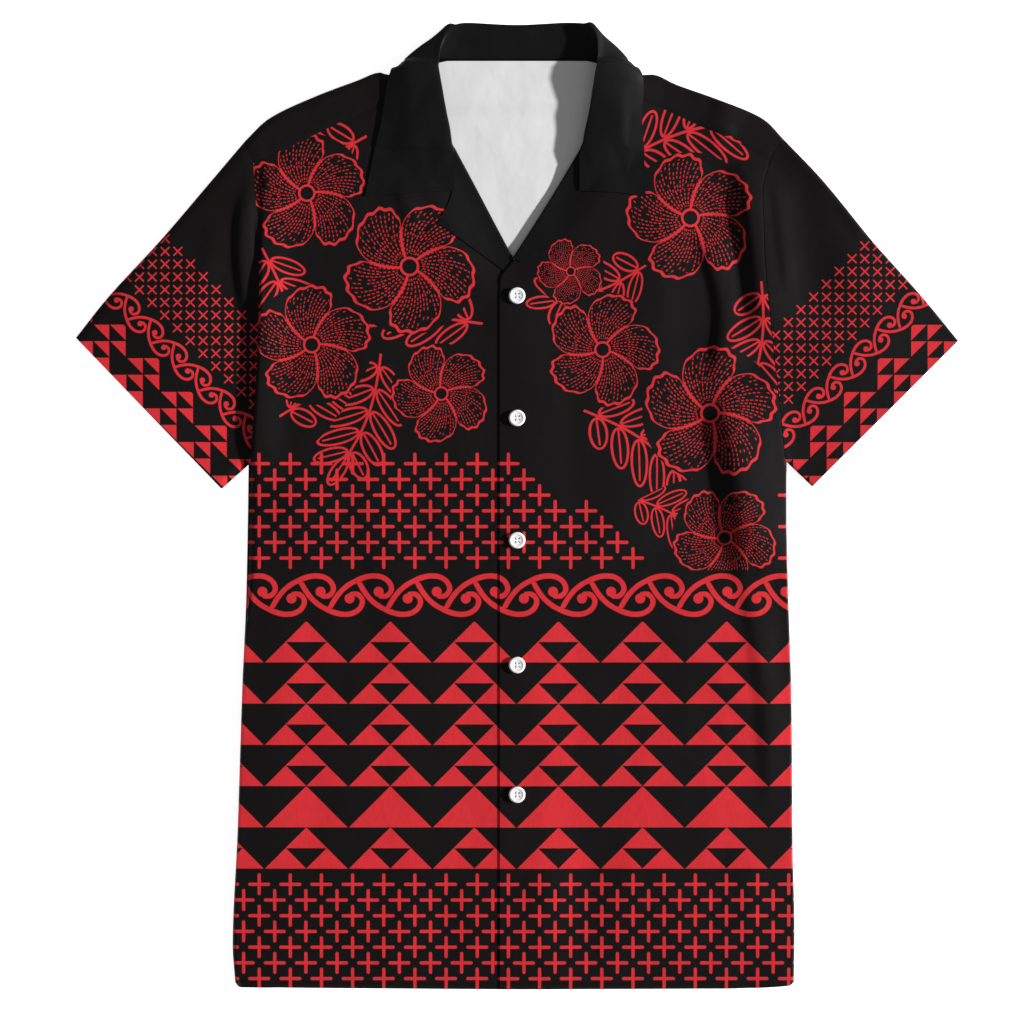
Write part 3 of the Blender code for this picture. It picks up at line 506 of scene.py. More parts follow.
def tucked(height, x, y, line, thickness):
    """A height that goes under the neighbouring panel at a seam, or over it if that is negative."""
    depth = thickness + LAYER_GAP
    return height - depth * (1 - smoothstep(distance_to(x, y, line) / TUCK_REACH))


# ---------------------------------------------------------------------------------------
# Meshes and pieces
# ---------------------------------------------------------------------------------------
def add_sheet(bm, x, y, z, flip=False):
    """A grid with a point for each row and column of places, in millimetres."""
    rows, columns = x.shape[0] - 1, x.shape[1] - 1
    made = bmesh.ops.create_grid(bm, x_segments=columns, y_segments=rows, size=1.0)["verts"]
    for vert in made:
        at = round((vert.co.y + 1) / 2 * rows), round((vert.co.x + 1) / 2 * columns)
        vert.co = Vector((x[at], y[at], z[at])) * MM
    if flip:
        bmesh.ops.reverse_faces(bm, faces=list({face for vert in made for face in vert.link_faces}))


def new_object(name, bm):
    """An object in the scene with the bmesh's shape, which ends with it."""
    mesh = bpy.data.meshes.new(name)
    bm.to_mesh(mesh)
    bm.free()
    thing = bpy.data.objects.new(name, mesh)
    bpy.context.scene.collection.objects.link(thing)
    return thing


def new_piece(name, bm, materials, node):
    """A finished piece at the origin that rides with the shirt and stands for a CAD node."""
    piece = new_object(name, bm)
    piece.data.shade_smooth()
    for material in materials:
        piece.data.materials.append(material)
    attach(piece, "root")
    if node:
        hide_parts(node)
    return piece


def finished_mesh(thing):
    """An object's mesh as its modifiers leave it."""
    shape = thing.evaluated_get(bpy.context.evaluated_depsgraph_get())
    return bpy.data.meshes.new_from_object(shape)


def give_wall(piece, thickness, offset, inside=0):
    """The cloth's thickness, with the inside's material a number of slots on, and crisp rims."""
    wall = piece.modifiers.new("wall", "SOLIDIFY")
    wall.thickness = thickness
    wall.offset = offset
    wall.material_offset = inside
    walled = finished_mesh(piece)
    piece.modifiers.clear()
    piece.data = walled
    walled.set_sharp_from_angle(angle=math.radians(CRISP_ANGLE))


def split_bands(bm, bands, origin, axis):
    """Cuts the cloth where the print's bands change and gives each band its material."""
    for distance in bands:
        geometry = [*bm.verts, *bm.edges, *bm.faces]
        bmesh.ops.bisect_plane(
            bm, geom=geometry, dist=ON_CUT, plane_co=origin + axis * distance, plane_no=axis
        )
    for face in bm.faces:
        away = (face.calc_center_median() - origin).dot(axis)
        face.material_index = sum(away < distance for distance in bands)


def add_line(bm, places):
    """Vertices at the places, joined by edges."""
    verts = [bm.verts.new(place) for place in places]
    for start, end in zip(verts, verts[1:]):
        bm.edges.new((start, end))


# ---------------------------------------------------------------------------------------
# Shader nodes
# ---------------------------------------------------------------------------------------
class Formula:
    """Adds nodes to a tree and joins them, so that a formula reads like one."""

    def __init__(self, tree):
        self.tree = tree

    def put(self, kind, *values, **settings):
        node = self.tree.nodes.new(kind)
        for name, setting in settings.items():
            setattr(node, name, setting)
        for socket, value in zip(node.inputs, values):
            self.feed(socket, value)
        return node

    def feed(self, socket, value):
        if isinstance(value, bpy.types.NodeSocket):
            self.tree.links.new(value, socket)
        elif value is not None:
            socket.default_value = value

    def math(self, operation, *values):
        return self.put("ShaderNodeMath", *values, operation=operation).outputs[0]

    def vector(self, operation, *values):
        node = self.put("ShaderNodeVectorMath", *values, operation=operation)
        return node.outputs["Value" if operation in {"LENGTH", "DOT_PRODUCT"} else "Vector"]

    def scaled(self, vector, factor):
        node = self.put("ShaderNodeVectorMath", vector, operation="SCALE")
        self.feed(node.inputs["Scale"], factor)
        return node.outputs[0]

    def place(self):
        """Where a point of the surface is, in millimetres."""
        return self.scaled(self.put("ShaderNodeTexCoord").outputs["Object"], 1 / MM)

    def parts(self, vector):
        node = self.put("ShaderNodeSeparateXYZ", vector)
        return node.outputs[0], node.outputs[1]

    def join(self, x, y):
        return self.put("ShaderNodeCombineXYZ", x, y, 0.0).outputs[0]

    def lowest(self, *values):
        found = values[0]
        for value in values[1:]:
            found = self.math("MINIMUM", found, value)
        return found

    def highest(self, *values):
        found = values[0]
        for value in values[1:]:
            found = self.math("MAXIMUM", found, value)
        return found

    def filled(self, outside, soft):
        """1 inside an outline and 0 outside of it, from the distance, with a soft edge."""
        return self.put("ShaderNodeMapRange", outside, -soft, soft, 1.0, 0.0).outputs[0]

    def mix(self, factor, first, second, blend="MIX"):
        """A blend of two colours."""
        node = self.put("ShaderNodeMix", factor, data_type="RGBA", blend_type=blend)
        self.feed(node.inputs[6], first)
        self.feed(node.inputs[7], second)
        return node.outputs[2]

    def choose(self, factor, first, second):
        """A blend of two vectors."""
        node = self.put("ShaderNodeMix", factor, data_type="VECTOR")
        self.feed(node.inputs[4], first)
        self.feed(node.inputs[5], second)
        return node.outputs[1]

    def scatter(self, x, y):
        """A chance value from 0 to 1 for each pair of whole numbers."""
        node = self.put("ShaderNodeTexWhiteNoise", self.join(x, y), noise_dimensions="2D")
        return node.outputs["Value"]

    def curve(self, value, points):
        """A smooth curve through points from 0 to 1 along and up."""
        node = self.put("ShaderNodeFloatCurve", 1.0, value)
        line = node.mapping.curves[0]
        line.points[0].location, line.points[1].location = points[0], points[-1]
        for x, y in points[1:-1]:
            line.points.new(x, y)
        node.mapping.update()
        return node.outputs[0]

    def set(self, node, **values):
        """Sets a node's inputs by name, with spaces for underlines."""
        for name, value in values.items():
            self.feed(node.inputs[name.replace("_", " ")], value)
        return node

    def turned(self, place, x, y, turn, scale):
        """The place as seen from x and y, turned by degrees, with a length of scale as one."""
        return self.put(
            "ShaderNodeMapping", place, (x, y, 0), (0, 0, math.radians(turn)), (scale, scale, 1),
            vector_type="TEXTURE",
        ).outputs[0]

    def use(self, group, **values):
        """A group's node, with values for its inputs."""
        return self.set(self.put("ShaderNodeGroup", node_tree=group), **values)


def new_group(name, inputs, outputs):
    """An empty node group, as its formula and its entry's and its exit's sockets."""
    group = bpy.data.node_groups.new(name, "ShaderNodeTree")
    for label, default in inputs.items():
        kind = "NodeSocketFloat" if isinstance(default, float) else "NodeSocketVector"
        socket = group.interface.new_socket(name=label, in_out="INPUT", socket_type=kind)
        if isinstance(default, float):
            socket.default_value = default
    for label in outputs:
        group.interface.new_socket(name=label, in_out="OUTPUT", socket_type="NodeSocketFloat")
    entry = group.nodes.new("NodeGroupInput")
    leaving = group.nodes.new("NodeGroupOutput")
    return Formula(group), entry.outputs, leaving.inputs


def weave_group():
    """Plain weave: threads over and under each other, with uneven slubs."""
    f, given, out = new_group("Weave", {"Place": None, "Pitch": 0.42}, ("Height", "Tone"))
    x, y = f.parts(given["Place"])
    turn = f.math("DIVIDE", 2 * math.pi, given["Pitch"])
    warp = f.math("SINE", f.math("MULTIPLY", x, turn))
    weft = f.math("SINE", f.math("MULTIPLY", y, turn))
    crossing = f.math("MULTIPLY", warp, weft)
    slub_place = f.vector("MULTIPLY", given["Place"], (0.5, 0.06, 1.0))
    slub = f.put("ShaderNodeTexNoise", slub_place, noise_dimensions="2D")
    f.set(slub, Scale=2.0, Detail=1.0)
    f.feed(out["Height"], f.math("MULTIPLY_ADD", slub.outputs[0], 0.8, crossing))
    f.feed(out["Tone"], f.math("MULTIPLY_ADD", crossing, 0.05, slub.outputs[0]))
    return f.tree


def creases_group():
    """Fine creases that are too small for the mesh: long, soft and uneven."""
    f, given, out = new_group("Creases", {"Place": None}, ("Height",))
    heights = []
    for squeeze, detail in (((0.020, 0.012, 0.015), 1.0), ((0.055, 0.045, 0.05), 2.0)):
        noise = f.put("ShaderNodeTexNoise", f.vector("MULTIPLY", given["Place"], squeeze))
        heights.append(f.set(noise, Scale=1.0, Detail=detail).outputs[0])
    wide, small = heights
    f.feed(out["Height"], f.math("MULTIPLY_ADD", small, 0.25, wide))
    return f.tree


def crosses_group():
    """Seven staggered rows of small upright crosses with rounded ends."""
    inputs = {"Place": None, "Cut": 1e6, "Slope": 0.0, "Stroke": CROSS_STROKE}
    f, given, out = new_group("Crosses", inputs, ("Mask",))
    half_stroke = f.math("MULTIPLY", given["Stroke"], 0.5)
    reach = f.math("SUBTRACT", CROSS_ARM, half_stroke)
    found = []
    for shift, rows in ((0, 2), (1, 3)):
        half = (CROSS_PITCH / 2, CROSS_ROW, 1.0)
        offset = (shift * half[0], shift * half[1], 0.0)
        moved = f.vector("SUBTRACT", given["Place"], offset)
        local = f.vector("WRAP", moved, half, tuple(-v for v in half))
        middle = f.vector("SUBTRACT", given["Place"], local)
        near = f.vector("ABSOLUTE", local)
        to_bars = []
        for bar in (f.join(reach, 0.0), f.join(0.0, reach)):
            past_end = f.vector("MAXIMUM", f.vector("SUBTRACT", near, bar), (0, 0, 0))
            to_bars.append(f.vector("LENGTH", f.vector("MULTIPLY", past_end, (1, 1, 0))))
        mask = f.filled(f.math("SUBTRACT", f.lowest(*to_bars), half_stroke), PRINT_SOFT)
        middle_x, middle_y = f.parts(middle)
        row = f.math("ABSOLUTE", middle_y)
        in_rows = f.math("LESS_THAN", row, (rows + 0.5) * CROSS_ROW)
        edge = f.math("MULTIPLY_ADD", middle_y, given["Slope"], given["Cut"])
        kept = f.math("LESS_THAN", middle_x, edge)
        if shift:
            at_side = f.math("GREATER_THAN", middle_x, SIDE_CROSSES[0])
            low = f.math("LESS_THAN", middle_y, SIDE_CROSSES[1])
            kept = f.highest(kept, f.math("MULTIPLY", at_side, low))
        found.append(f.math("MULTIPLY", mask, f.math("MULTIPLY", in_rows, kept)))
    f.feed(out["Mask"], f.highest(*found))
    return f.tree


def scroll_group():
    """One running scroll about its bulb: how far a place is outside its stroke."""
    f, given, out = new_group("Scroll", {"Place": None}, ("Distance",))
    x, y = f.parts(given["Place"])
    radius = f.vector("LENGTH", f.join(x, y))
    angle = f.math("WRAP", f.math("ARCTAN2", y, x), math.radians(225), math.radians(-135))
    angles, radii, widths = np.array(SCROLL_LINE).T
    angles = np.radians(angles)
    start, span = angles[0], angles[-1] - angles[0]
    share = f.math("DIVIDE", f.math("SUBTRACT", angle, start), span)
    places = (angles - start) / span
    reach = radii[-1]
    line = f.curve(share, list(zip(places, radii / reach)))
    lean = np.gradient(radii, angles) / radii
    thinness = 1 / np.hypot(1, lean) / widths / SCROLL_CURVE_TOP
    thin = f.math("MULTIPLY", f.curve(share, list(zip(places, thinness))), SCROLL_CURVE_TOP)
    away = f.math("ABSOLUTE", f.math("MULTIPLY_ADD", line, -reach, radius))
    stroke = f.math("MULTIPLY_ADD", away, thin, -SCROLL_STROKE / 2)
    from_middle = f.math("ABSOLUTE", f.math("SUBTRACT", share, 0.5))
    past_end = f.math("MULTIPLY", f.math("GREATER_THAN", from_middle, 0.5), FAR)
    bulb = f.math("SUBTRACT", radius, SCROLL_BULB)
    f.feed(out["Distance"], f.lowest(f.math("ADD", stroke, past_end), bulb))
    return f.tree


def scrolls_group(scroll):
    """A band of scrolls, one up and one down in each repeat."""
    f, given, out = new_group("Scroll band", {"Place": None, "Wider": 0.0}, ("Mask",))
    x, y = f.parts(given["Place"])
    found = []
    for side, shift in ((1.0, 0.0), (-1.0, -SCROLL_PITCH / 2)):
        moved = f.math("SUBTRACT", x, shift)
        local_x = f.math("WRAP", moved, SCROLL_START, SCROLL_START - SCROLL_PITCH)
        local_y = f.math("MULTIPLY_ADD", y, side, -SCROLL_RISE)
        for turn in (0.0, -SCROLL_PITCH):
            place = f.join(f.math("ADD", local_x, turn), local_y)
            found.append(f.use(scroll, Place=place).outputs[0])
    outside = f.math("SUBTRACT", f.lowest(*found), given["Wider"])
    f.feed(out["Mask"], f.filled(outside, PRINT_SOFT))
    return f.tree


def triangles_group():
    """Rows of triangles, each divided in four but for one row of solid ones."""
    f, given, out = new_group("Triangles", {"Place": None, "Fuller": 0.0}, ("Mask",))
    x, y = f.parts(given["Place"])
    across = f.math("PINGPONG", x, TRIANGLE_PITCH / 2)
    depth = f.math("MULTIPLY", y, -1.0)
    row = f.math("FLOOR", f.math("DIVIDE", depth, TRIANGLE_ROW))
    down = f.math("SUBTRACT", depth, f.math("MULTIPLY", row, TRIANGLE_ROW))
    square = math.sqrt(0.5)  # from a difference along x to the distance to a slope
    large = f.math("MULTIPLY_ADD", f.math("SUBTRACT", down, across), square, given["Fuller"])
    upper = f.math("SUBTRACT", TRIANGLE_ROW / 2, down)
    from_low = f.math("SUBTRACT", f.math("ADD", across, down), TRIANGLE_ROW)
    lower = f.math("MULTIPLY_ADD", from_low, square, given["Fuller"])
    solid = f.math("COMPARE", row, float(TRIANGLE_SOLID_ROW), 0.5)
    divided = f.highest(upper, lower, f.math("MULTIPLY", solid, FAR))
    base = f.math("SUBTRACT", TRIANGLE_ROW - TRIANGLE_GAP, down)
    inside = f.lowest(large, divided, base)
    mask = f.filled(f.math("SUBTRACT", TRIANGLE_INSET, inside), PRINT_SOFT)
    last = f.math("LESS_THAN", row, TRIANGLE_ROWS - 0.5)
    first = f.math("GREATER_THAN", row, -0.5)
    f.feed(out["Mask"], f.math("MULTIPLY", mask, f.math("MULTIPLY", first, last)))
    return f.tree


def blossom_group():
    """A five-petalled blossom in line, a petal one unit long, stippled towards its heart."""
    petals, heart, ring, dotted_from = 5, 0.13, 0.46, 0.19
    inner_columns, more_columns, dots, dot_share = 8.0, 7.0, 15.0, 0.62
    f, given, out = new_group("Blossom", {"Place": None, "Stroke": 0.03}, ("Mask",))
    x, y = f.parts(given["Place"])
    half = f.math("MULTIPLY", given["Stroke"], 0.5)
    radius = f.vector("LENGTH", f.join(x, y))
    # the petals lean round, and each counts from 0 to 1 across
    angle = f.math("MULTIPLY_ADD", radius, 0.5, f.math("ARCTAN2", y, x))
    turn = f.math("MULTIPLY", angle, petals / (2 * math.pi))
    petal = f.math("FRACT", turn)
    petal_number = f.math("FLOOR", turn)
    rim = f.curve(
        petal, ((0, 0.56), (0.1, 0.78), (0.3, 0.95), (0.5, 0.99), (0.7, 0.96), (0.9, 0.82), (1, 0.6))
    )
    ruffle = f.math("SINE", f.math("MULTIPLY", petal, 12 * math.pi))
    rim = f.math("MULTIPLY_ADD", ruffle, 0.016, rim)
    # the lines: rim, sides and heart
    outline = f.math("MULTIPLY", f.math("ABSOLUTE", f.math("SUBTRACT", radius, rim)), 0.85)
    side = f.math("MULTIPLY", f.math("PINGPONG", petal, 0.5), radius)
    side = f.math("MULTIPLY", side, 2 * math.pi / petals)
    in_heart = f.math("MULTIPLY", f.math("LESS_THAN", radius, heart), FAR)
    past_rim = f.math("MULTIPLY", f.math("GREATER_THAN", radius, rim), FAR)
    side = f.math("ADD", side, f.math("ADD", in_heart, past_rim))
    to_heart = f.math("ABSOLUTE", f.math("SUBTRACT", radius, heart))
    to_line = f.math("SUBTRACT", f.lowest(outline, side, to_heart), half)
    lines = f.filled(to_line, BLOSSOM_SOFT)
    # the stipple: columns of short dashes, more of them past the ring, and some left out
    in_petal = f.math("MULTIPLY_ADD", f.math("GREATER_THAN", radius, ring), more_columns, inner_columns)
    columns = f.math("MULTIPLY", petal, in_petal)
    column = f.math("FLOOR", columns)
    to_column = f.math("ABSOLUTE", f.math("SUBTRACT", f.math("FRACT", columns), 0.5))
    to_column = f.math("DIVIDE", f.math("MULTIPLY", to_column, radius), in_petal)
    to_column = f.math("MULTIPLY", to_column, 2 * math.pi / petals)
    stagger = f.scatter(column, petal_number)
    rows = f.math("MULTIPLY_ADD", radius, dots, stagger)
    dash = f.math("LESS_THAN", f.math("FRACT", rows), dot_share)
    chance = f.scatter(f.math("MULTIPLY_ADD", petal_number, 15.0, column), f.math("FLOOR", rows))
    kept = f.math("LESS_THAN", chance, f.math("MULTIPLY_ADD", radius, -0.9, 1.42))
    inner = f.math("MULTIPLY", f.math("LESS_THAN", radius, f.math("SUBTRACT", rim, 0.05)), kept)
    outer = f.math("GREATER_THAN", radius, dotted_from)
    stipple = f.filled(f.math("MULTIPLY_ADD", half, -0.5, to_column), FINE_SOFT)
    stipple = f.math("MULTIPLY", f.math("MULTIPLY", stipple, dash), f.math("MULTIPLY", inner, outer))
    f.feed(out["Mask"], f.highest(lines, f.math("MULTIPLY", stipple, 0.8)))
    return f.tree


def leaflet_group():
    """An oval leaflet in line, from its root along x, with a midrib."""
    inputs = {"Place": None, "Length": 0.3, "Width": 0.06, "Stroke": 0.02}
    f, given, out = new_group("Leaflet", inputs, ("Distance",))
    x, y = f.parts(given["Place"])
    half = f.math("MULTIPLY", given["Stroke"], 0.5)
    half_length = f.math("MULTIPLY", given["Length"], 0.5)
    # p and q are 1 at the oval's ends and sides
    p = f.math("SUBTRACT", f.math("DIVIDE", x, half_length), 1.0)
    q = f.math("DIVIDE", y, given["Width"])
    size = f.vector("LENGTH", f.join(p, q))
    steepness = f.join(f.math("DIVIDE", p, half_length), f.math("DIVIDE", q, given["Width"]))
    to_distance = f.math("DIVIDE", size, f.vector("LENGTH", steepness))
    oval = f.math("MULTIPLY", f.math("ABSOLUTE", f.math("SUBTRACT", size, 1.0)), to_distance)
    rib = f.math("ADD", f.math("ABSOLUTE", y), f.math("MULTIPLY", half, 0.25))
    off_rib = f.math("GREATER_THAN", f.math("ABSOLUTE", f.math("ADD", p, 0.12)), 0.9)
    rib = f.math("MULTIPLY_ADD", off_rib, FAR, rib)
    f.feed(out["Distance"], f.math("SUBTRACT", f.lowest(oval, rib), half))
    return f.tree


def spray_group(leaflet):
    """A spray of paired leaflets in line, along x from 0 to 1, with one more at its end."""
    f, given, out = new_group("Leaf spray", {"Place": None, "Stroke": 0.02}, ("Mask",))
    x, y = f.parts(given["Place"])
    lean = math.radians(SPRAY_LEAN)
    bend = f.math("MULTIPLY", f.math("SINE", f.math("MULTIPLY", x, math.pi)), 0.07)
    from_stem = f.math("SUBTRACT", y, bend)
    aside = f.math("ABSOLUTE", from_stem)
    # where the nearest leaflet grows from the stem
    root = f.math("MULTIPLY_ADD", aside, -1 / math.tan(lean), x)
    local = f.math("WRAP", f.math("SUBTRACT", root, 0.05), SPRAY_PITCH / 2, -SPRAY_PITCH / 2)
    leaf_root = f.math("SUBTRACT", root, local)
    ahead = f.math("SUBTRACT", x, leaf_root)
    along_leaf = f.math("MULTIPLY", aside, math.sin(lean))
    along_leaf = f.math("MULTIPLY_ADD", ahead, math.cos(lean), along_leaf)
    across_leaf = f.math("MULTIPLY", aside, math.cos(lean))
    across_leaf = f.math("MULTIPLY_ADD", ahead, -math.sin(lean), across_leaf)
    length = f.curve(leaf_root, ((0, 0.26), (0.2, 0.34), (0.45, 0.38), (0.7, 0.33), (1, 0.2)))
    place = f.join(f.math("SUBTRACT", along_leaf, 0.03), across_leaf)
    stroke = given["Stroke"]
    pair = f.use(leaflet, Place=place, Length=length, Width=0.066, Stroke=stroke).outputs[0]
    past = f.highest(f.math("LESS_THAN", leaf_root, 0.0), f.math("GREATER_THAN", leaf_root, 0.86))
    pair = f.math("MULTIPLY_ADD", past, FAR, pair)
    place = f.join(f.math("SUBTRACT", x, 0.93), from_stem)
    tip = f.use(leaflet, Place=place, Length=0.27, Width=0.058, Stroke=stroke).outputs[0]
    from_middle = f.math("ABSOLUTE", f.math("SUBTRACT", x, 0.44))
    stem = f.math("MULTIPLY_ADD", f.math("GREATER_THAN", from_middle, 0.5), FAR, aside)
    stem = f.math("MULTIPLY_ADD", stroke, -0.55, stem)
    f.feed(out["Mask"], f.filled(f.lowest(pair, tip, stem), FINE_SOFT))
    return f.tree


# ---------------------------------------------------------------------------------------
# Materials
# ---------------------------------------------------------------------------------------
class Inks:
    """The node groups, each built once."""

    def __init__(self):
        self.weave = weave_group()
        self.creases = creases_group()
        self.crosses = crosses_group()
        self.scrolls = scrolls_group(scroll_group())
        self.triangles = triangles_group()
        self.blossom = blossom_group()
        self.spray = spray_group(leaflet_group())


def nearest_motif(f, place, placements, middle):
    """The place as the nearest of several motifs sees it, which are (x, y, turn, size)."""
    best, best_away = None, None
    for placement in placements:
        local = f.turned(place, *placement)
        from_middle = f.vector("SUBTRACT", local, (middle, 0, 0))
        away = f.vector("LENGTH", f.vector("MULTIPLY", from_middle, (1, 1, 0)))
        if best is None:
            best, best_away = local, away
            continue
        nearer = f.math("LESS_THAN", away, best_away)
        best = f.choose(nearer, best, local)
        best_away = f.math("MINIMUM", away, best_away)
    return best, best_away


def in_band(group, x, y, **values):
    """The ink of a band's group, which starts at x and y of the body's print."""

    def ink(f, place):
        return f.use(group, Place=f.vector("SUBTRACT", place, (x, y, 0)), **values).outputs[0]

    return ink


def smaller_triangles(triangles):
    """The triangles' ink as the sleeves carry it, a little smaller and aside."""
    centre = (*SLEEVE_CENTRE, 0)
    start = (SLEEVE_CENTRE[0] + SLEEVE_TRIANGLE_MOVE[0], SLEEVE_CENTRE[1] + SLEEVE_TRIANGLE_MOVE[1], 0)

    def ink(f, place):
        local = f.scaled(f.vector("SUBTRACT", place, start), 1 / SLEEVE_TRIANGLE_SCALE)
        return triangles(f, f.vector("ADD", local, centre))

    return ink


def flowers(inks, side, crosses):
    """Blossoms over leaf sprays, and the upper crosses where no blossom lies."""

    def ink(f, place):
        local, away = nearest_motif(f, place, BLOSSOMS[side], 0.0)
        blossom = f.use(inks.blossom, Place=local, Stroke=BLOSSOM_STROKE).outputs[0]
        local, _ = nearest_motif(f, place, SPRAYS[side], 0.5)
        spray = f.use(inks.spray, Place=local, Stroke=SPRAY_STROKE).outputs[0]
        spray = f.math("MULTIPLY", spray, f.math("GREATER_THAN", away, BLOSSOM_CLEAR))
        clear = f.math("GREATER_THAN", away, BLOSSOM_CLEAR_CROSSES)
        return f.highest(blossom, spray, f.math("MULTIPLY", crosses(f, place), clear))

    return ink


def new_material(name):
    """A material with its formula and its shader."""
    material = bpy.data.materials.new(name)
    material.use_nodes = True
    tree = material.node_tree
    return material, Formula(tree), tree.nodes["Principled BSDF"]


def cloth_material(name, inks, colour, ink_colour=None, ink=None, sleeve=None, satin=0.0, grain=0.24):
    """Woven cloth, with the red ink where its print says."""
    material, f, shader = new_material(name)
    place = f.place()
    weave = f.use(inks.weave, Place=place)
    creases = f.use(inks.creases, Place=place)
    base = (*colour, 1.0)
    if ink:
        on_body = place
        if sleeve:
            local = f.turned(place, *sleeve, SLEEVE_SCALE)
            on_body = f.vector("ADD", local, (*SLEEVE_CENTRE, 0))
        base = f.mix(ink(f, on_body), base, (*ink_colour, 1.0))
    shade = f.math("MULTIPLY_ADD", weave.outputs["Tone"], grain, 1 - grain / 2)
    rough = f.math("MULTIPLY_ADD", weave.outputs["Tone"], 0.10, CLOTH_ROUGHNESS - satin)
    threads = f.set(
        f.put("ShaderNodeBump"), Strength=WEAVE_STRENGTH, Distance=WEAVE_DEPTH * MM,
        Height=weave.outputs["Height"],
    ).outputs["Normal"]
    creased = f.set(
        f.put("ShaderNodeBump"), Strength=1.0, Distance=CREASE_DEPTH * MM,
        Height=creases.outputs["Height"], Normal=threads,
    ).outputs["Normal"]
    f.set(
        shader, Base_Color=f.mix(1.0, base, shade, "MULTIPLY"), Roughness=rough,
        Specular_IOR_Level=CLOTH_SHINE, Normal=creased,
    )
    return material


def button_material(colour):
    """Glossy white with a faint pearly drift."""
    material, f, shader = new_material("pearly button")
    swirl = f.set(f.put("ShaderNodeTexNoise", f.place()), Scale=0.25, Distortion=1.5).outputs[0]
    warm, cool = (*colour, 1.0), (colour[0] * 0.95, colour[1] * 0.97, colour[2], 1.0)
    rough = f.math("MULTIPLY_ADD", swirl, 0.12, 0.18)
    f.set(shader, Base_Color=f.mix(swirl, warm, cool), Roughness=rough, Coat_Weight=0.3)
    return material


class Cloths:
    """Every cloth of the shirt and the buttons' thread, each made once."""

    def __init__(self, colours):
        inks = Inks()
        print_colours = colours.ground, colours.ink
        self.inside = cloth_material("unprinted inside", inks, colours.inside, grain=0.06)
        self.plain = cloth_material("plain black cloth", inks, colours.plain, satin=0.04)
        self.thread = cloth_material("button thread", inks, colours.thread)
        scroll = in_band(inks.scrolls, SCROLL_X, SCROLL_Y, Wider=SCROLL_WIDER)
        triangles = in_band(inks.triangles, TRIANGLE_X, TRIANGLE_TOP, Fuller=TRIANGLE_FULLER)
        lower = in_band(inks.crosses, *LOWER_CROSSES)
        shared = [
            cloth_material(f"print, {kind}", inks, *print_colours, ink)
            for kind, ink in (("scrolls", scroll), ("triangles", triangles), ("crosses", lower))
        ]
        self.panels = {}
        cut = {"Cut": CROSS_CUT[0] - UPPER_CROSSES[0], "Slope": CROSS_CUT[1]}
        for side, ends in (("front_right", {}), ("front_left", cut), ("back", {})):
            upper = flowers(inks, side, in_band(inks.crosses, *UPPER_CROSSES, **ends))
            upper = cloth_material(f"print, flowers, {side}", inks, *print_colours, upper)
            self.panels[side] = (upper, *shared, self.inside)
        crosses = in_band(inks.crosses, *UPPER_CROSSES, Stroke=SLEEVE_CROSS_STROKE)
        scroll = in_band(inks.scrolls, SCROLL_X, SCROLL_Y, Wider=SLEEVE_SCROLL_WIDER)
        triangles = smaller_triangles(in_band(inks.triangles, TRIANGLE_X, TRIANGLE_TOP))
        for side, place in SLEEVE_PRINTS.items():
            bare = cloth_material(f"sleeve {side}, bare", inks, colours.ground)
            bands = [
                cloth_material(f"sleeve {side}, {kind}", inks, *print_colours, ink, place)
                for kind, ink in (("crosses", crosses), ("scrolls", scroll), ("triangles", triangles))
            ]
            self.panels[f"sleeve_{side}"] = (bare, *bands, self.inside)


made = {}


def cloths():
    """The cloths, made when a piece first needs them."""
    if "cloths" not in made:
        made["cloths"] = Cloths(bpy.context.scene.shirt_colours)
    return made["cloths"]


def lay_plain(node, x, y, z, thickness):
    """A piece of the plain cloth, as thick to either side of the drawn surface."""
    bm = bmesh.new()
    add_sheet(bm, x, y, z)
    bmesh.ops.recalc_face_normals(bm, faces=bm.faces)
    piece = new_piece(f"{node}_cloth", bm, (cloths().plain,), node)
    give_wall(piece, thickness * MM, MIDDLE)
    return piece


# Where the body's print changes, in metres from its middle, from the collar down
BODY_BANDS = [place * MM for place in (SCROLL_TOP, TRIANGLES_TOP, TRIANGLES_END)]


def lay_printed(name, node, bm, bands, origin=(0, 0, 0), axis=(0, 1, 0)):
    """A printed panel's piece, with a band's material below each change and its inside's on the back."""
    split_bands(bm, bands, Vector(origin), Vector(axis))
    materials = cloths().panels[node]
    piece = new_piece(name, bm, materials, node)
    thickness = bpy.context.scene.shirt_sizes.cloth
    give_wall(piece, thickness, OUTER_FACE, inside=len(materials) - 1)
    return piece


# ---------------------------------------------------------------------------------------
# Settings
# ---------------------------------------------------------------------------------------
class ShirtSizes(bpy.types.PropertyGroup):
    """Sizes that a user would change."""

    cloth: FloatProperty(
        name="Cloth", description="Thickness of the printed cloth", default=0.00045,
        subtype="DISTANCE", unit="LENGTH",
    )
    collar: FloatProperty(
        name="Collar", description="Thickness of the turned collar", default=0.0008,
        subtype="DISTANCE", unit="LENGTH",
    )
    facing: FloatProperty(
        name="Facing", description="Thickness of a lapel", default=0.0006,
        subtype="DISTANCE", unit="LENGTH",
    )
    button: FloatProperty(
        name="Button", description="Radius of a button", default=0.0068,
        subtype="DISTANCE", unit="LENGTH",
    )


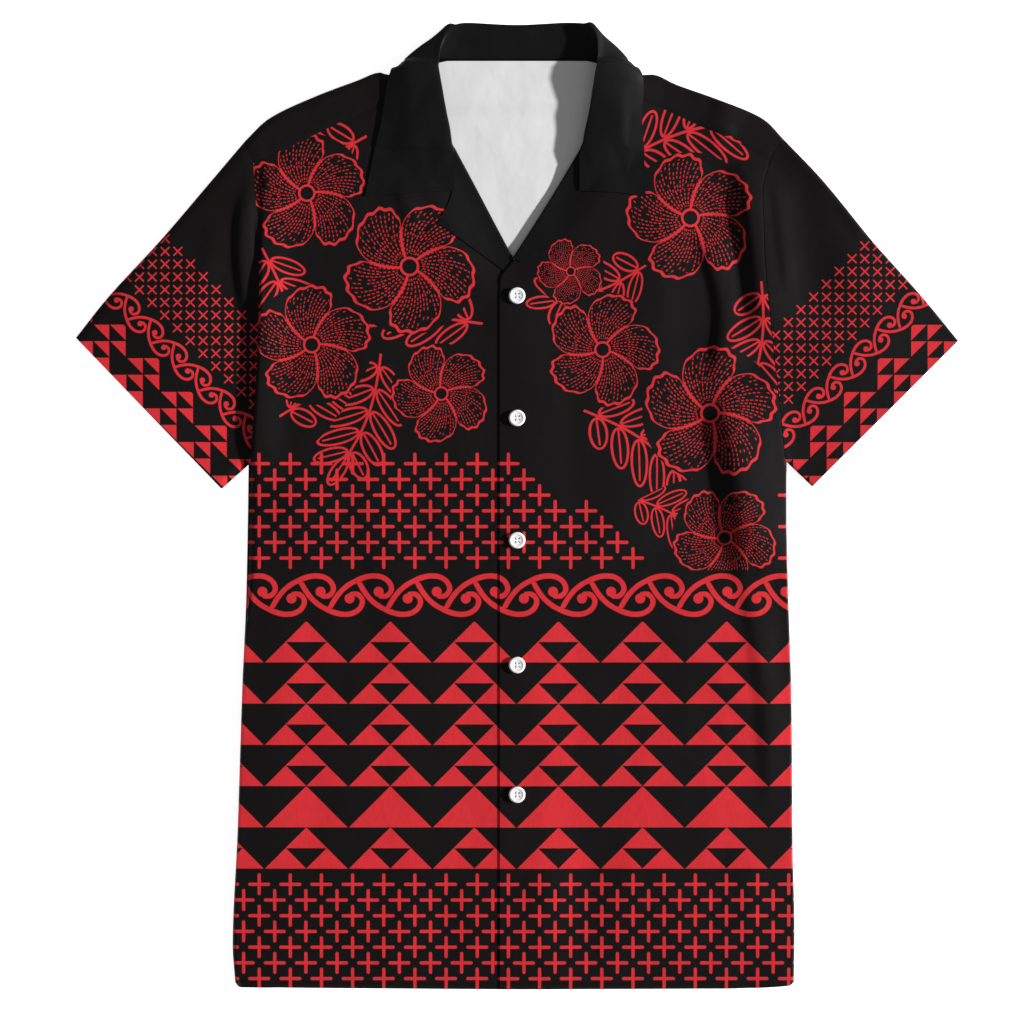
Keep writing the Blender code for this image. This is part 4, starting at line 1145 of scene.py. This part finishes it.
class ShirtColours(bpy.types.PropertyGroup):
    """Colours that a user would change."""

    ground: FloatVectorProperty(
        name="Ground", description="Ground colour of the printed cloth", subtype="COLOR",
        default=(0.0044, 0.0031, 0.0030), size=3, min=0, max=1,
    )
    ink: FloatVectorProperty(
        name="Ink", description="Colour of the print", subtype="COLOR",
        default=(0.645, 0.027, 0.035), size=3, min=0, max=1,
    )
    inside: FloatVectorProperty(
        name="Inside", description="Colour of the unprinted inside", subtype="COLOR",
        default=(0.745, 0.745, 0.745), size=3, min=0, max=1,
    )
    plain: FloatVectorProperty(
        name="Plain cloth", description="Colour of the collar and lapels", subtype="COLOR",
        default=(0.0036, 0.0036, 0.0037), size=3, min=0, max=1,
    )
    button: FloatVectorProperty(
        name="Buttons", description="Colour of the buttons", subtype="COLOR",
        default=(0.94, 0.925, 0.925), size=3, min=0, max=1,
    )
    thread: FloatVectorProperty(
        name="Thread", description="Colour of the thread in the buttons", subtype="COLOR",
        default=(0.8, 0.79, 0.78), size=3, min=0, max=1,
    )


# ---------------------------------------------------------------------------------------
# Operators: one for each piece or group of like pieces
# ---------------------------------------------------------------------------------------
class SHIRT_OT_back(bpy.types.Operator):
    """Lays the back flat and brings it over both shoulders to the forward seams"""

    bl_idname = "shirt.back"
    bl_label = "Back"

    def execute(self, context):
        shoulder, neck, side, arm, yoke = 40, 20, 44, 16, 24
        knee = 5  # the point of an armhole from which the yoke's rows run
        right = moved_left(along(SHOULDER_RIGHT, shoulder), -BACK_FOLD)
        left = moved_left(along(SHOULDER_LEFT, shoulder), BACK_FOLD)
        high = np.vstack([right, along(BACK_NECK, neck)[1:-1], left[::-1]])
        low = through(shares(np.array(HEM, float)), HEM, shares(high))
        edges = [
            joined((outline, side), (armhole[:knee + 1], arm), ((*armhole[knee:-1], corner), yoke))
            for outline, armhole, corner in (
                (SIDE_RIGHT, ARMHOLE_RIGHT, high[0]),
                (SIDE_LEFT, ARMHOLE_LEFT, high[-1]),
            )
        ]
        x, y = between_edges(low, high, *edges)
        bm = bmesh.new()
        add_sheet(bm, x, y, back_bottom(x, y), flip=True)
        self.bring_over(bm, right, SHOULDER_RIGHT, SEAM_RIGHT, flip=True)
        self.bring_over(bm, left, SHOULDER_LEFT, SEAM_LEFT)
        bmesh.ops.remove_doubles(bm, verts=bm.verts, dist=MERGE)
        piece = lay_printed("back_cloth", "back", bm, BODY_BANDS)
        return {"FINISHED"}

    def bring_over(self, bm, start, outline, seam, flip=False):
        """Turns the cloth round a shoulder's rim, and lays it flat as far as the seam."""
        turn, flap = 8, 12
        rim, sewn = along(outline, len(start) - 1), along(seam, len(start) - 1)
        bottom, top = back_bottom(*start.T), upper_height(*start.T)
        angles = np.linspace(0, math.pi, turn + 1)[:, None]
        fold = start + (rim - start) * np.sin(angles)[..., None]
        fold_z = bottom + (top - bottom) * (1 - np.cos(angles)) / 2
        share = (np.arange(1, flap + 1) / flap)[:, None, None]
        laid = start + (sewn - start) * share
        plan = np.concatenate([fold, laid])
        z = np.vstack([fold_z, upper_height(laid[..., 0], laid[..., 1])])
        add_sheet(bm, plan[..., 0], plan[..., 1], z, flip)


class SHIRT_OT_fronts(bpy.types.Operator):
    """Lays both fronts on the back, the left one over the right one"""

    bl_idname = "shirt.fronts"
    bl_label = "Fronts"

    def execute(self, context):
        inner = joined((UNDER_EDGE, 160), (ROLL_RIGHT, 34), (NECK_RIGHT, 22))
        piece = self.front("right", inner, SEAM_RIGHT, SIDE_RIGHT, ARMHOLE_RIGHT)
        inner = joined((OVER_EDGE, 160), (ROLL_LEFT, 34), (NECK_LEFT, 22))
        piece = self.front("left", inner, SEAM_LEFT, SIDE_LEFT, ARMHOLE_LEFT)
        return {"FINISHED"}

    def front(self, which, inner, seam, side, arm):
        left = which == "left"
        thickness = bpy.context.scene.shirt_sizes.cloth / MM
        outer = joined((side, 126), (arm[:-2] + (seam[0],), 90))
        outer[-1], inner[-1] = seam[0], seam[-1]
        columns = 1 - FRONT_COLUMNS[::-1] if left else FRONT_COLUMNS
        hem = np.array(HEM, float)
        past = PLACKET / np.linalg.norm(np.diff(hem, axis=0), axis=1).sum()
        start, end = (0.5 - past, 1.0) if left else (0.0, 0.5 + past)
        low = through(shares(hem), hem, start + (end - start) * columns)
        high = np.array(seam[::-1] if left else seam, float)
        high = moved_left(through(shares(high), high, columns), TUCK)
        first, last = (inner, outer) if left else (outer, inner)
        first[0], last[0] = low[0], low[-1]
        first[-1], last[-1] = high[0], high[-1]
        x, y = between_edges(low, high, first, last)
        z = upper_height(x, y) + (overlap_lift(x, y) if left else 0.0)
        z = tucked(z, x, y, SEAMS[which], thickness)
        reach = side_reach(x, y, SIDE_REACH_RIGHT, SIDE_REACH_LEFT)
        near = 1 - smoothstep(distance_to(x, y, SIDES[which]) / reach)
        z += np.where(y < SIDE_SEAM_END, (SIDE_TOP - z) * near, 0.0)
        bm = bmesh.new()
        add_sheet(bm, x, y, z)
        return lay_printed(f"front_{which}_cloth", f"front_{which}", bm, BODY_BANDS)


class SHIRT_OT_sleeves(bpy.types.Operator):
    """Sets in both sleeves, each a tube pressed flat"""

    bl_idname = "shirt.sleeves"
    bl_label = "Sleeves"

    def execute(self, context):
        # the right sleeve goes under its front at the armhole, and the left one a little over
        thickness = context.scene.shirt_sizes.cloth / MM
        self.sleeve("right", ARMHOLE_RIGHT, SLEEVE_TOP_RIGHT, UNDERARM_RIGHT, -TUCK, thickness)
        self.sleeve("left", ARMHOLE_LEFT, SLEEVE_TOP_LEFT, UNDERARM_LEFT, TUCK / 2, -thickness)
        return {"FINISHED"}

    def sleeve(self, side, arm, top, under, tuck, tuck_depth):
        across, length, turn = 64, 56, 6
        armhole = along(arm, across)
        cuff = along((under[-1], top[-1]), across)
        upper, lower = along(top, length), along(under, length)
        upper[0], lower[0] = armhole[-1], armhole[0]
        plan = np.stack(between_edges(armhole, cuff, lower, upper), axis=-1)
        # the flat cloth ends a little inside the folded edges, under the arm and on top
        rims = plan[:, (0, -1)].copy()
        inward = plan[:, (1, -2)] - rims
        plan[:, (0, -1)] += inward * SLEEVE_FOLD / np.linalg.norm(inward, axis=-1)[..., None]
        below = plan.copy()
        plan[0] = moved_left(armhole, tuck)
        x, y = plan[..., 0], plan[..., 1]
        z = tucked(upper_height(x, y), x, y, ARMHOLES[side], tuck_depth)
        # one ring of the tube: over the top, round its fold, back underneath, round the other
        places, heights = [plan], [z]
        angles = np.linspace(0, math.pi, turn + 1)[1:-1]
        for edge, rise in ((-1, (1 + np.cos(angles)) / 2), (0, (1 - np.cos(angles)) / 2)):
            start = plan[:, edge, None]
            places.append(start + (rims[:, edge, None] - start) * np.sin(angles)[:, None])
            heights.append(z[:, edge, None] * rise)
            if edge == -1:
                places.append(below[:, ::-1])
                heights.append(np.zeros_like(z))
        places.append(plan[:, :1])
        heights.append(z[:, :1])
        ring, ring_z = np.hstack(places), np.hstack(heights)
        bm = bmesh.new()
        add_sheet(bm, ring[..., 0], ring[..., 1], ring_z, flip=side == "left")
        bmesh.ops.remove_doubles(bm, verts=bm.verts, dist=MERGE)
        place = SLEEVE_PRINTS[side]
        turned = math.radians(place.turn)
        changes = (CROSSES_TOP, SCROLL_TOP, TRIANGLES_TOP)
        bands = [(change - SLEEVE_CENTRE[1]) * SLEEVE_SCALE * MM for change in changes]
        piece = lay_printed(
            f"sleeve_{side}_cloth", f"sleeve_{side}", bm, bands,
            (place.x * MM, place.y * MM, 0), (-math.sin(turned), math.cos(turned), 0),
        )


class SHIRT_OT_collar(bpy.types.Operator):
    """Turns the camp collar: stand and leaf in one, from one front point to the other"""

    bl_idname = "shirt.collar"
    bl_label = "Collar"

    def execute(self, context):
        between_sections, between_columns = 6, 7
        thickness = context.scene.shirt_sizes.collar / MM
        sections = np.array([*COLLAR_RIGHT, *self.left_sections()[::-1]], float)
        last, columns = len(sections) - 1, len(COLLAR_COLUMNS)
        cuts = np.linspace(0, last, last * between_sections + 1)
        steps = np.linspace(0, columns - 1, (columns - 1) * between_columns + 1)
        lines = through(range(last + 1), sections.reshape(last + 1, -1), cuts)
        grid = np.array([through(range(columns), line.reshape(columns, 3), steps) for line in lines])
        x, y, z = grid[..., 0], grid[..., 1], grid[..., 2].copy()
        at_tip = (cuts <= COLLAR_TIP) | (cuts >= last - COLLAR_TIP)
        on_front = (steps[None] > COLLAR_ROLL) & (z > COLLAR_ON_FRONT_Z) & (y < COLLAR_ON_FRONT_Y)
        resting = upper_height(x, y) + thickness / 2 + COLLAR_GAP
        z = np.where(at_tip[:, None] | on_front, np.maximum(z, resting), z)
        for dent in DENTS:
            turned = math.radians(dent.turn)
            u = (x - dent.x) * math.cos(turned) + (y - dent.y) * math.sin(turned)
            v = (y - dent.y) * math.cos(turned) - (x - dent.x) * math.sin(turned)
            depth = dent.height * np.exp(-((u / dent.length) ** 2) - (v / dent.width) ** 2)
            z += depth * (z > DENT_LOWEST_Z)
        z = np.maximum(z - COLLAR_SETTLE, thickness / 2)
        piece = lay_plain("collar", x, y, z, thickness)
        return {"FINISHED"}

    def left_sections(self):
        """The right side's sections mirrored, with the left side's own moves and lifts."""
        left = []
        rows = zip_longest(
            COLLAR_RIGHT[:-1], COLLAR_LEFT_MOVES, COLLAR_LEFT_LIFTS, fillvalue=(0, 0, 0)
        )
        for section, (roll, fold, edge), (high, mid, low) in rows:
            moves = (0, roll * STAND_MOVE, roll, roll, fold, (fold + edge) / 2, edge)
            lifts = (0, high * STAND_LIFT, high, high * LEAF_LIFT, mid, (mid + low) / 2, low)
            left.append([(-x - move, y, z + up) for (x, y, z), move, up in zip(section, moves, lifts)])
        return left


class SHIRT_OT_lapels(bpy.types.Operator):
    """Turns out both lapels, each from under its front, round the roll and out to its edge"""

    bl_idname = "shirt.lapels"
    bl_label = "Lapels"

    def execute(self, context):
        self.lapel("right", LAPEL_ROLL_RIGHT, LAPEL_EDGE_RIGHT)
        self.lapel("left", LAPEL_ROLL_LEFT, LAPEL_EDGE_LEFT)
        return {"FINISHED"}

    def lapel(self, side, roll, edge):
        rows, corner, turn_steps, out_steps = 44, 17, 28, 16
        sizes = bpy.context.scene.shirt_sizes
        thickness, cloth = sizes.facing / MM, sizes.cloth / MM
        left = side == "left"
        share = np.linspace(0, 1, rows + 1)
        roll = np.array(roll[::-1], float)
        base = through(shares(roll), roll, share)
        rim = joined((edge[:2], corner), (edge[1:], rows - corner))
        # the ways out over the front: square to the roll, but towards the rim at its upper end
        ahead = roll[-1] - roll[0]
        square = np.array((-ahead[1], ahead[0]) if left else (ahead[1], -ahead[0]))
        square /= np.linalg.norm(square)
        to_rim = (rim - base) / np.linalg.norm(rim - base, axis=1)[:, None]
        weight = ((1 - share) ** 3)[:, None]
        inward = square * (1 - weight) + to_rim * weight
        inward /= np.linalg.norm(inward, axis=1)[:, None]
        # round the front's edge
        knots = np.arange(len(LAPEL_REACH))
        steps = np.linspace(0, knots[-1], turn_steps + 1)
        profile = through(knots, np.column_stack([LAPEL_REACH, LAPEL_LEVEL]), steps)
        hook = LAPEL_HOOK * (1 - share)[:, None] * np.clip(1 - steps, 0, 1)
        reach = profile[:, 0] + hook
        plan = base[:, None] + square * np.minimum(reach, LAPEL_SQUARE)[..., None]
        plan = plan + inward[:, None] * np.maximum(reach - LAPEL_SQUARE, 0)[..., None]
        # and out to the rim
        out = (np.arange(1, out_steps + 1) / out_steps)[None, :, None]
        plan = np.concatenate([plan, plan[:, -1:] + (rim[:, None] - plan[:, -1:]) * out], axis=1)
        level = np.concatenate([profile[:, 1], np.ones(out_steps)])
        x, y = plan[..., 0], plan[..., 1]
        middle = upper_height(x, y) + (overlap_lift(x, y) if left else 0.0) - cloth / 2
        z = middle + level * (cloth / 2 + LAYER_GAP + thickness / 2)
        piece = lay_plain(f"lapel_{side}", x, y, z, thickness)


class SHIRT_OT_buttons(bpy.types.Operator):
    """Turns the four-hole buttons and sews them on"""

    bl_idname = "shirt.buttons"
    bl_label = "Buttons"

    def execute(self, context):
        radius = context.scene.shirt_sizes.button
        finish = button_material(context.scene.shirt_colours.button)
        for number in range(1, BUTTON_COUNT + 1):
            low, high = (Vector(corner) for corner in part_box(f"button_{number}"))
            height = high.z - low.z
            centre = (low + high) / 2
            place = np.array([[centre.x, centre.y]]) / MM
            cloth_top = upper_height(*place.T)[0] + overlap_lift(*place.T)[0]
            seat = Vector((centre.x, centre.y, cloth_top * MM + BUTTON_GAP))
            bm = bmesh.new()
            add_line(bm, [(out * radius, 0.0, up * height) for out, up in BUTTON_SECTION])
            bmesh.ops.spin(
                bm, geom=[*bm.verts, *bm.edges], angle=math.tau, steps=BUTTON_STEPS, axis=(0, 0, 1),
                cent=(0, 0, 0), use_merge=True,
            )
            bmesh.ops.remove_doubles(bm, verts=bm.verts, dist=MERGE)
            bmesh.ops.recalc_face_normals(bm, faces=bm.faces)
            bmesh.ops.translate(bm, verts=bm.verts, vec=seat)
            piece = new_piece(f"button_{number}_disc", bm, (finish,), f"button_{number}")
            self.drill(piece, centre, height)
            self.sew(number, seat, height * STITCH_TOP)
        return {"FINISHED"}

    def drill(self, piece, centre, height):
        """Cuts the four holes through."""
        bm = bmesh.new()
        for side_x in (-1, 1):
            for side_y in (-1, 1):
                hole = bmesh.ops.create_cone(
                    bm, cap_ends=True, segments=HOLE_STEPS, radius1=HOLE_RADIUS, radius2=HOLE_RADIUS,
                    depth=height * 4,
                )["verts"]
                bmesh.ops.translate(bm, verts=hole, vec=Vector((side_x, side_y, 0)) * HOLE_OUT + centre)
        cutter = new_object("drill", bm)
        cut = piece.modifiers.new("holes", "BOOLEAN")
        cut.object = cutter
        cut.solver = "EXACT"
        drilled = finished_mesh(piece)
        piece.modifiers.clear()
        piece.data = drilled
        bpy.data.objects.remove(cutter)

    def sew(self, number, seat, top):
        """Brings the thread up through the holes, in two stitches of three strands."""
        bm = bmesh.new()
        for side in (-1, 1):
            for strand in (-1, 0, 1):
                line = []
                for share in np.linspace(-1, 1, STITCH_STEPS + 1):
                    dip = STITCH_DIP * max(0.0, abs(share) - STITCH_LEVEL) / (1 - STITCH_LEVEL)
                    across = side * HOLE_OUT + strand * STRAND_PITCH
                    line.append((share * STITCH_HALF, across, top + STITCH_RISE - dip))
                add_line(bm, line)
        bmesh.ops.translate(bm, verts=bm.verts, vec=seat)
        path = new_object("stitch", bm)
        skin = path.modifiers.new("strand", "SKIN")
        skin.use_smooth_shade = True
        for point in path.data.skin_vertices[0].data:
            point.radius = (THREAD_RADIUS, THREAD_RADIUS)
        bm = bmesh.new()
        bm.from_mesh(finished_mesh(path))
        bpy.data.objects.remove(path)
        new_piece(f"button_{number}_thread", bm, (cloths().thread,), None)


class SHIRT_OT_stage(bpy.types.Operator):
    """Sets the pale floor, the low light and the camera"""

    bl_idname = "shirt.stage"
    bl_label = "Stage"

    def execute(self, context):
        scene = context.scene
        bm = bmesh.new()
        bmesh.ops.create_grid(bm, x_segments=1, y_segments=1, size=FLOOR_HALF)
        bmesh.ops.translate(bm, verts=bm.verts, vec=(0, 0, -FLOOR_DROP))
        floor = new_object("floor", bm)
        paint, f, shader = new_material("pale floor")
        f.set(
            shader, Base_Color=FLOOR_COLOUR, Roughness=0.9, Specular_IOR_Level=0.1,
            Emission_Color=(1, 1, 1, 1), Emission_Strength=FLOOR_GLOW,
        )
        floor.data.materials.append(paint)

        sun = bpy.data.lights.new("key", "SUN")
        sun.energy, sun.angle = SUN_STRENGTH, math.radians(SUN_WIDTH)
        lamp = bpy.data.objects.new("key", sun)
        height = math.radians(SUN_HEIGHT)
        towards_sun = Vector((math.cos(height), SUN_ASIDE, math.sin(height)))
        lamp.rotation_euler = towards_sun.to_track_quat("Z", "Y").to_euler()
        scene.collection.objects.link(lamp)

        scene.world = bpy.data.worlds.new("studio")
        scene.world.use_nodes = True
        sky = scene.world.node_tree
        Formula(sky).set(sky.nodes["Background"], Color=(1, 1, 1, 1), Strength=SKY_STRENGTH)

        lens = bpy.data.cameras.new("camera")
        lens.lens, lens.sensor_width = CAMERA_LENS, CAMERA_SENSOR
        camera = bpy.data.objects.new("camera", lens)
        camera.location = CAMERA_PLACE
        scene.collection.objects.link(camera)
        scene.camera = camera
        scene.view_settings.view_transform = "Standard"
        scene.view_settings.look = "None"
        return {"FINISHED"}


class SHIRT_PT_panel(bpy.types.Panel):
    """Lists the pieces of the shirt"""

    bl_label = "Shirt"
    bl_idname = "SHIRT_PT_panel"
    bl_space_type = "VIEW_3D"
    bl_region_type = "UI"
    bl_category = "Shirt"

    def draw(self, context):
        for group in (context.scene.shirt_sizes, context.scene.shirt_colours):
            for name in group.__annotations__:
                self.layout.prop(group, name)
        for operator in OPERATORS:
            self.layout.operator(operator.bl_idname)


OPERATORS = (
    SHIRT_OT_stage,
    SHIRT_OT_back,
    SHIRT_OT_fronts,
    SHIRT_OT_sleeves,
    SHIRT_OT_collar,
    SHIRT_OT_lapels,
    SHIRT_OT_buttons,
)
CLASSES = (ShirtSizes, ShirtColours, *OPERATORS, SHIRT_PT_panel)


def register():
    for cls in CLASSES:
        bpy.utils.register_class(cls)
    bpy.types.Scene.shirt_sizes = PointerProperty(type=ShirtSizes)
    bpy.types.Scene.shirt_colours = PointerProperty(type=ShirtColours)


def unregister():
    del bpy.types.Scene.shirt_colours
    del bpy.types.Scene.shirt_sizes
    for cls in reversed(CLASSES):
        bpy.utils.unregister_class(cls)


def main():
    """Makes the whole shirt."""
    register()
    bpy.ops.shirt.stage()
    bpy.ops.shirt.back()
    bpy.ops.shirt.fronts()
    bpy.ops.shirt.sleeves()
    bpy.ops.shirt.collar()
    bpy.ops.shirt.lapels()
    bpy.ops.shirt.buttons()


if __name__ == "__main__":
    main()
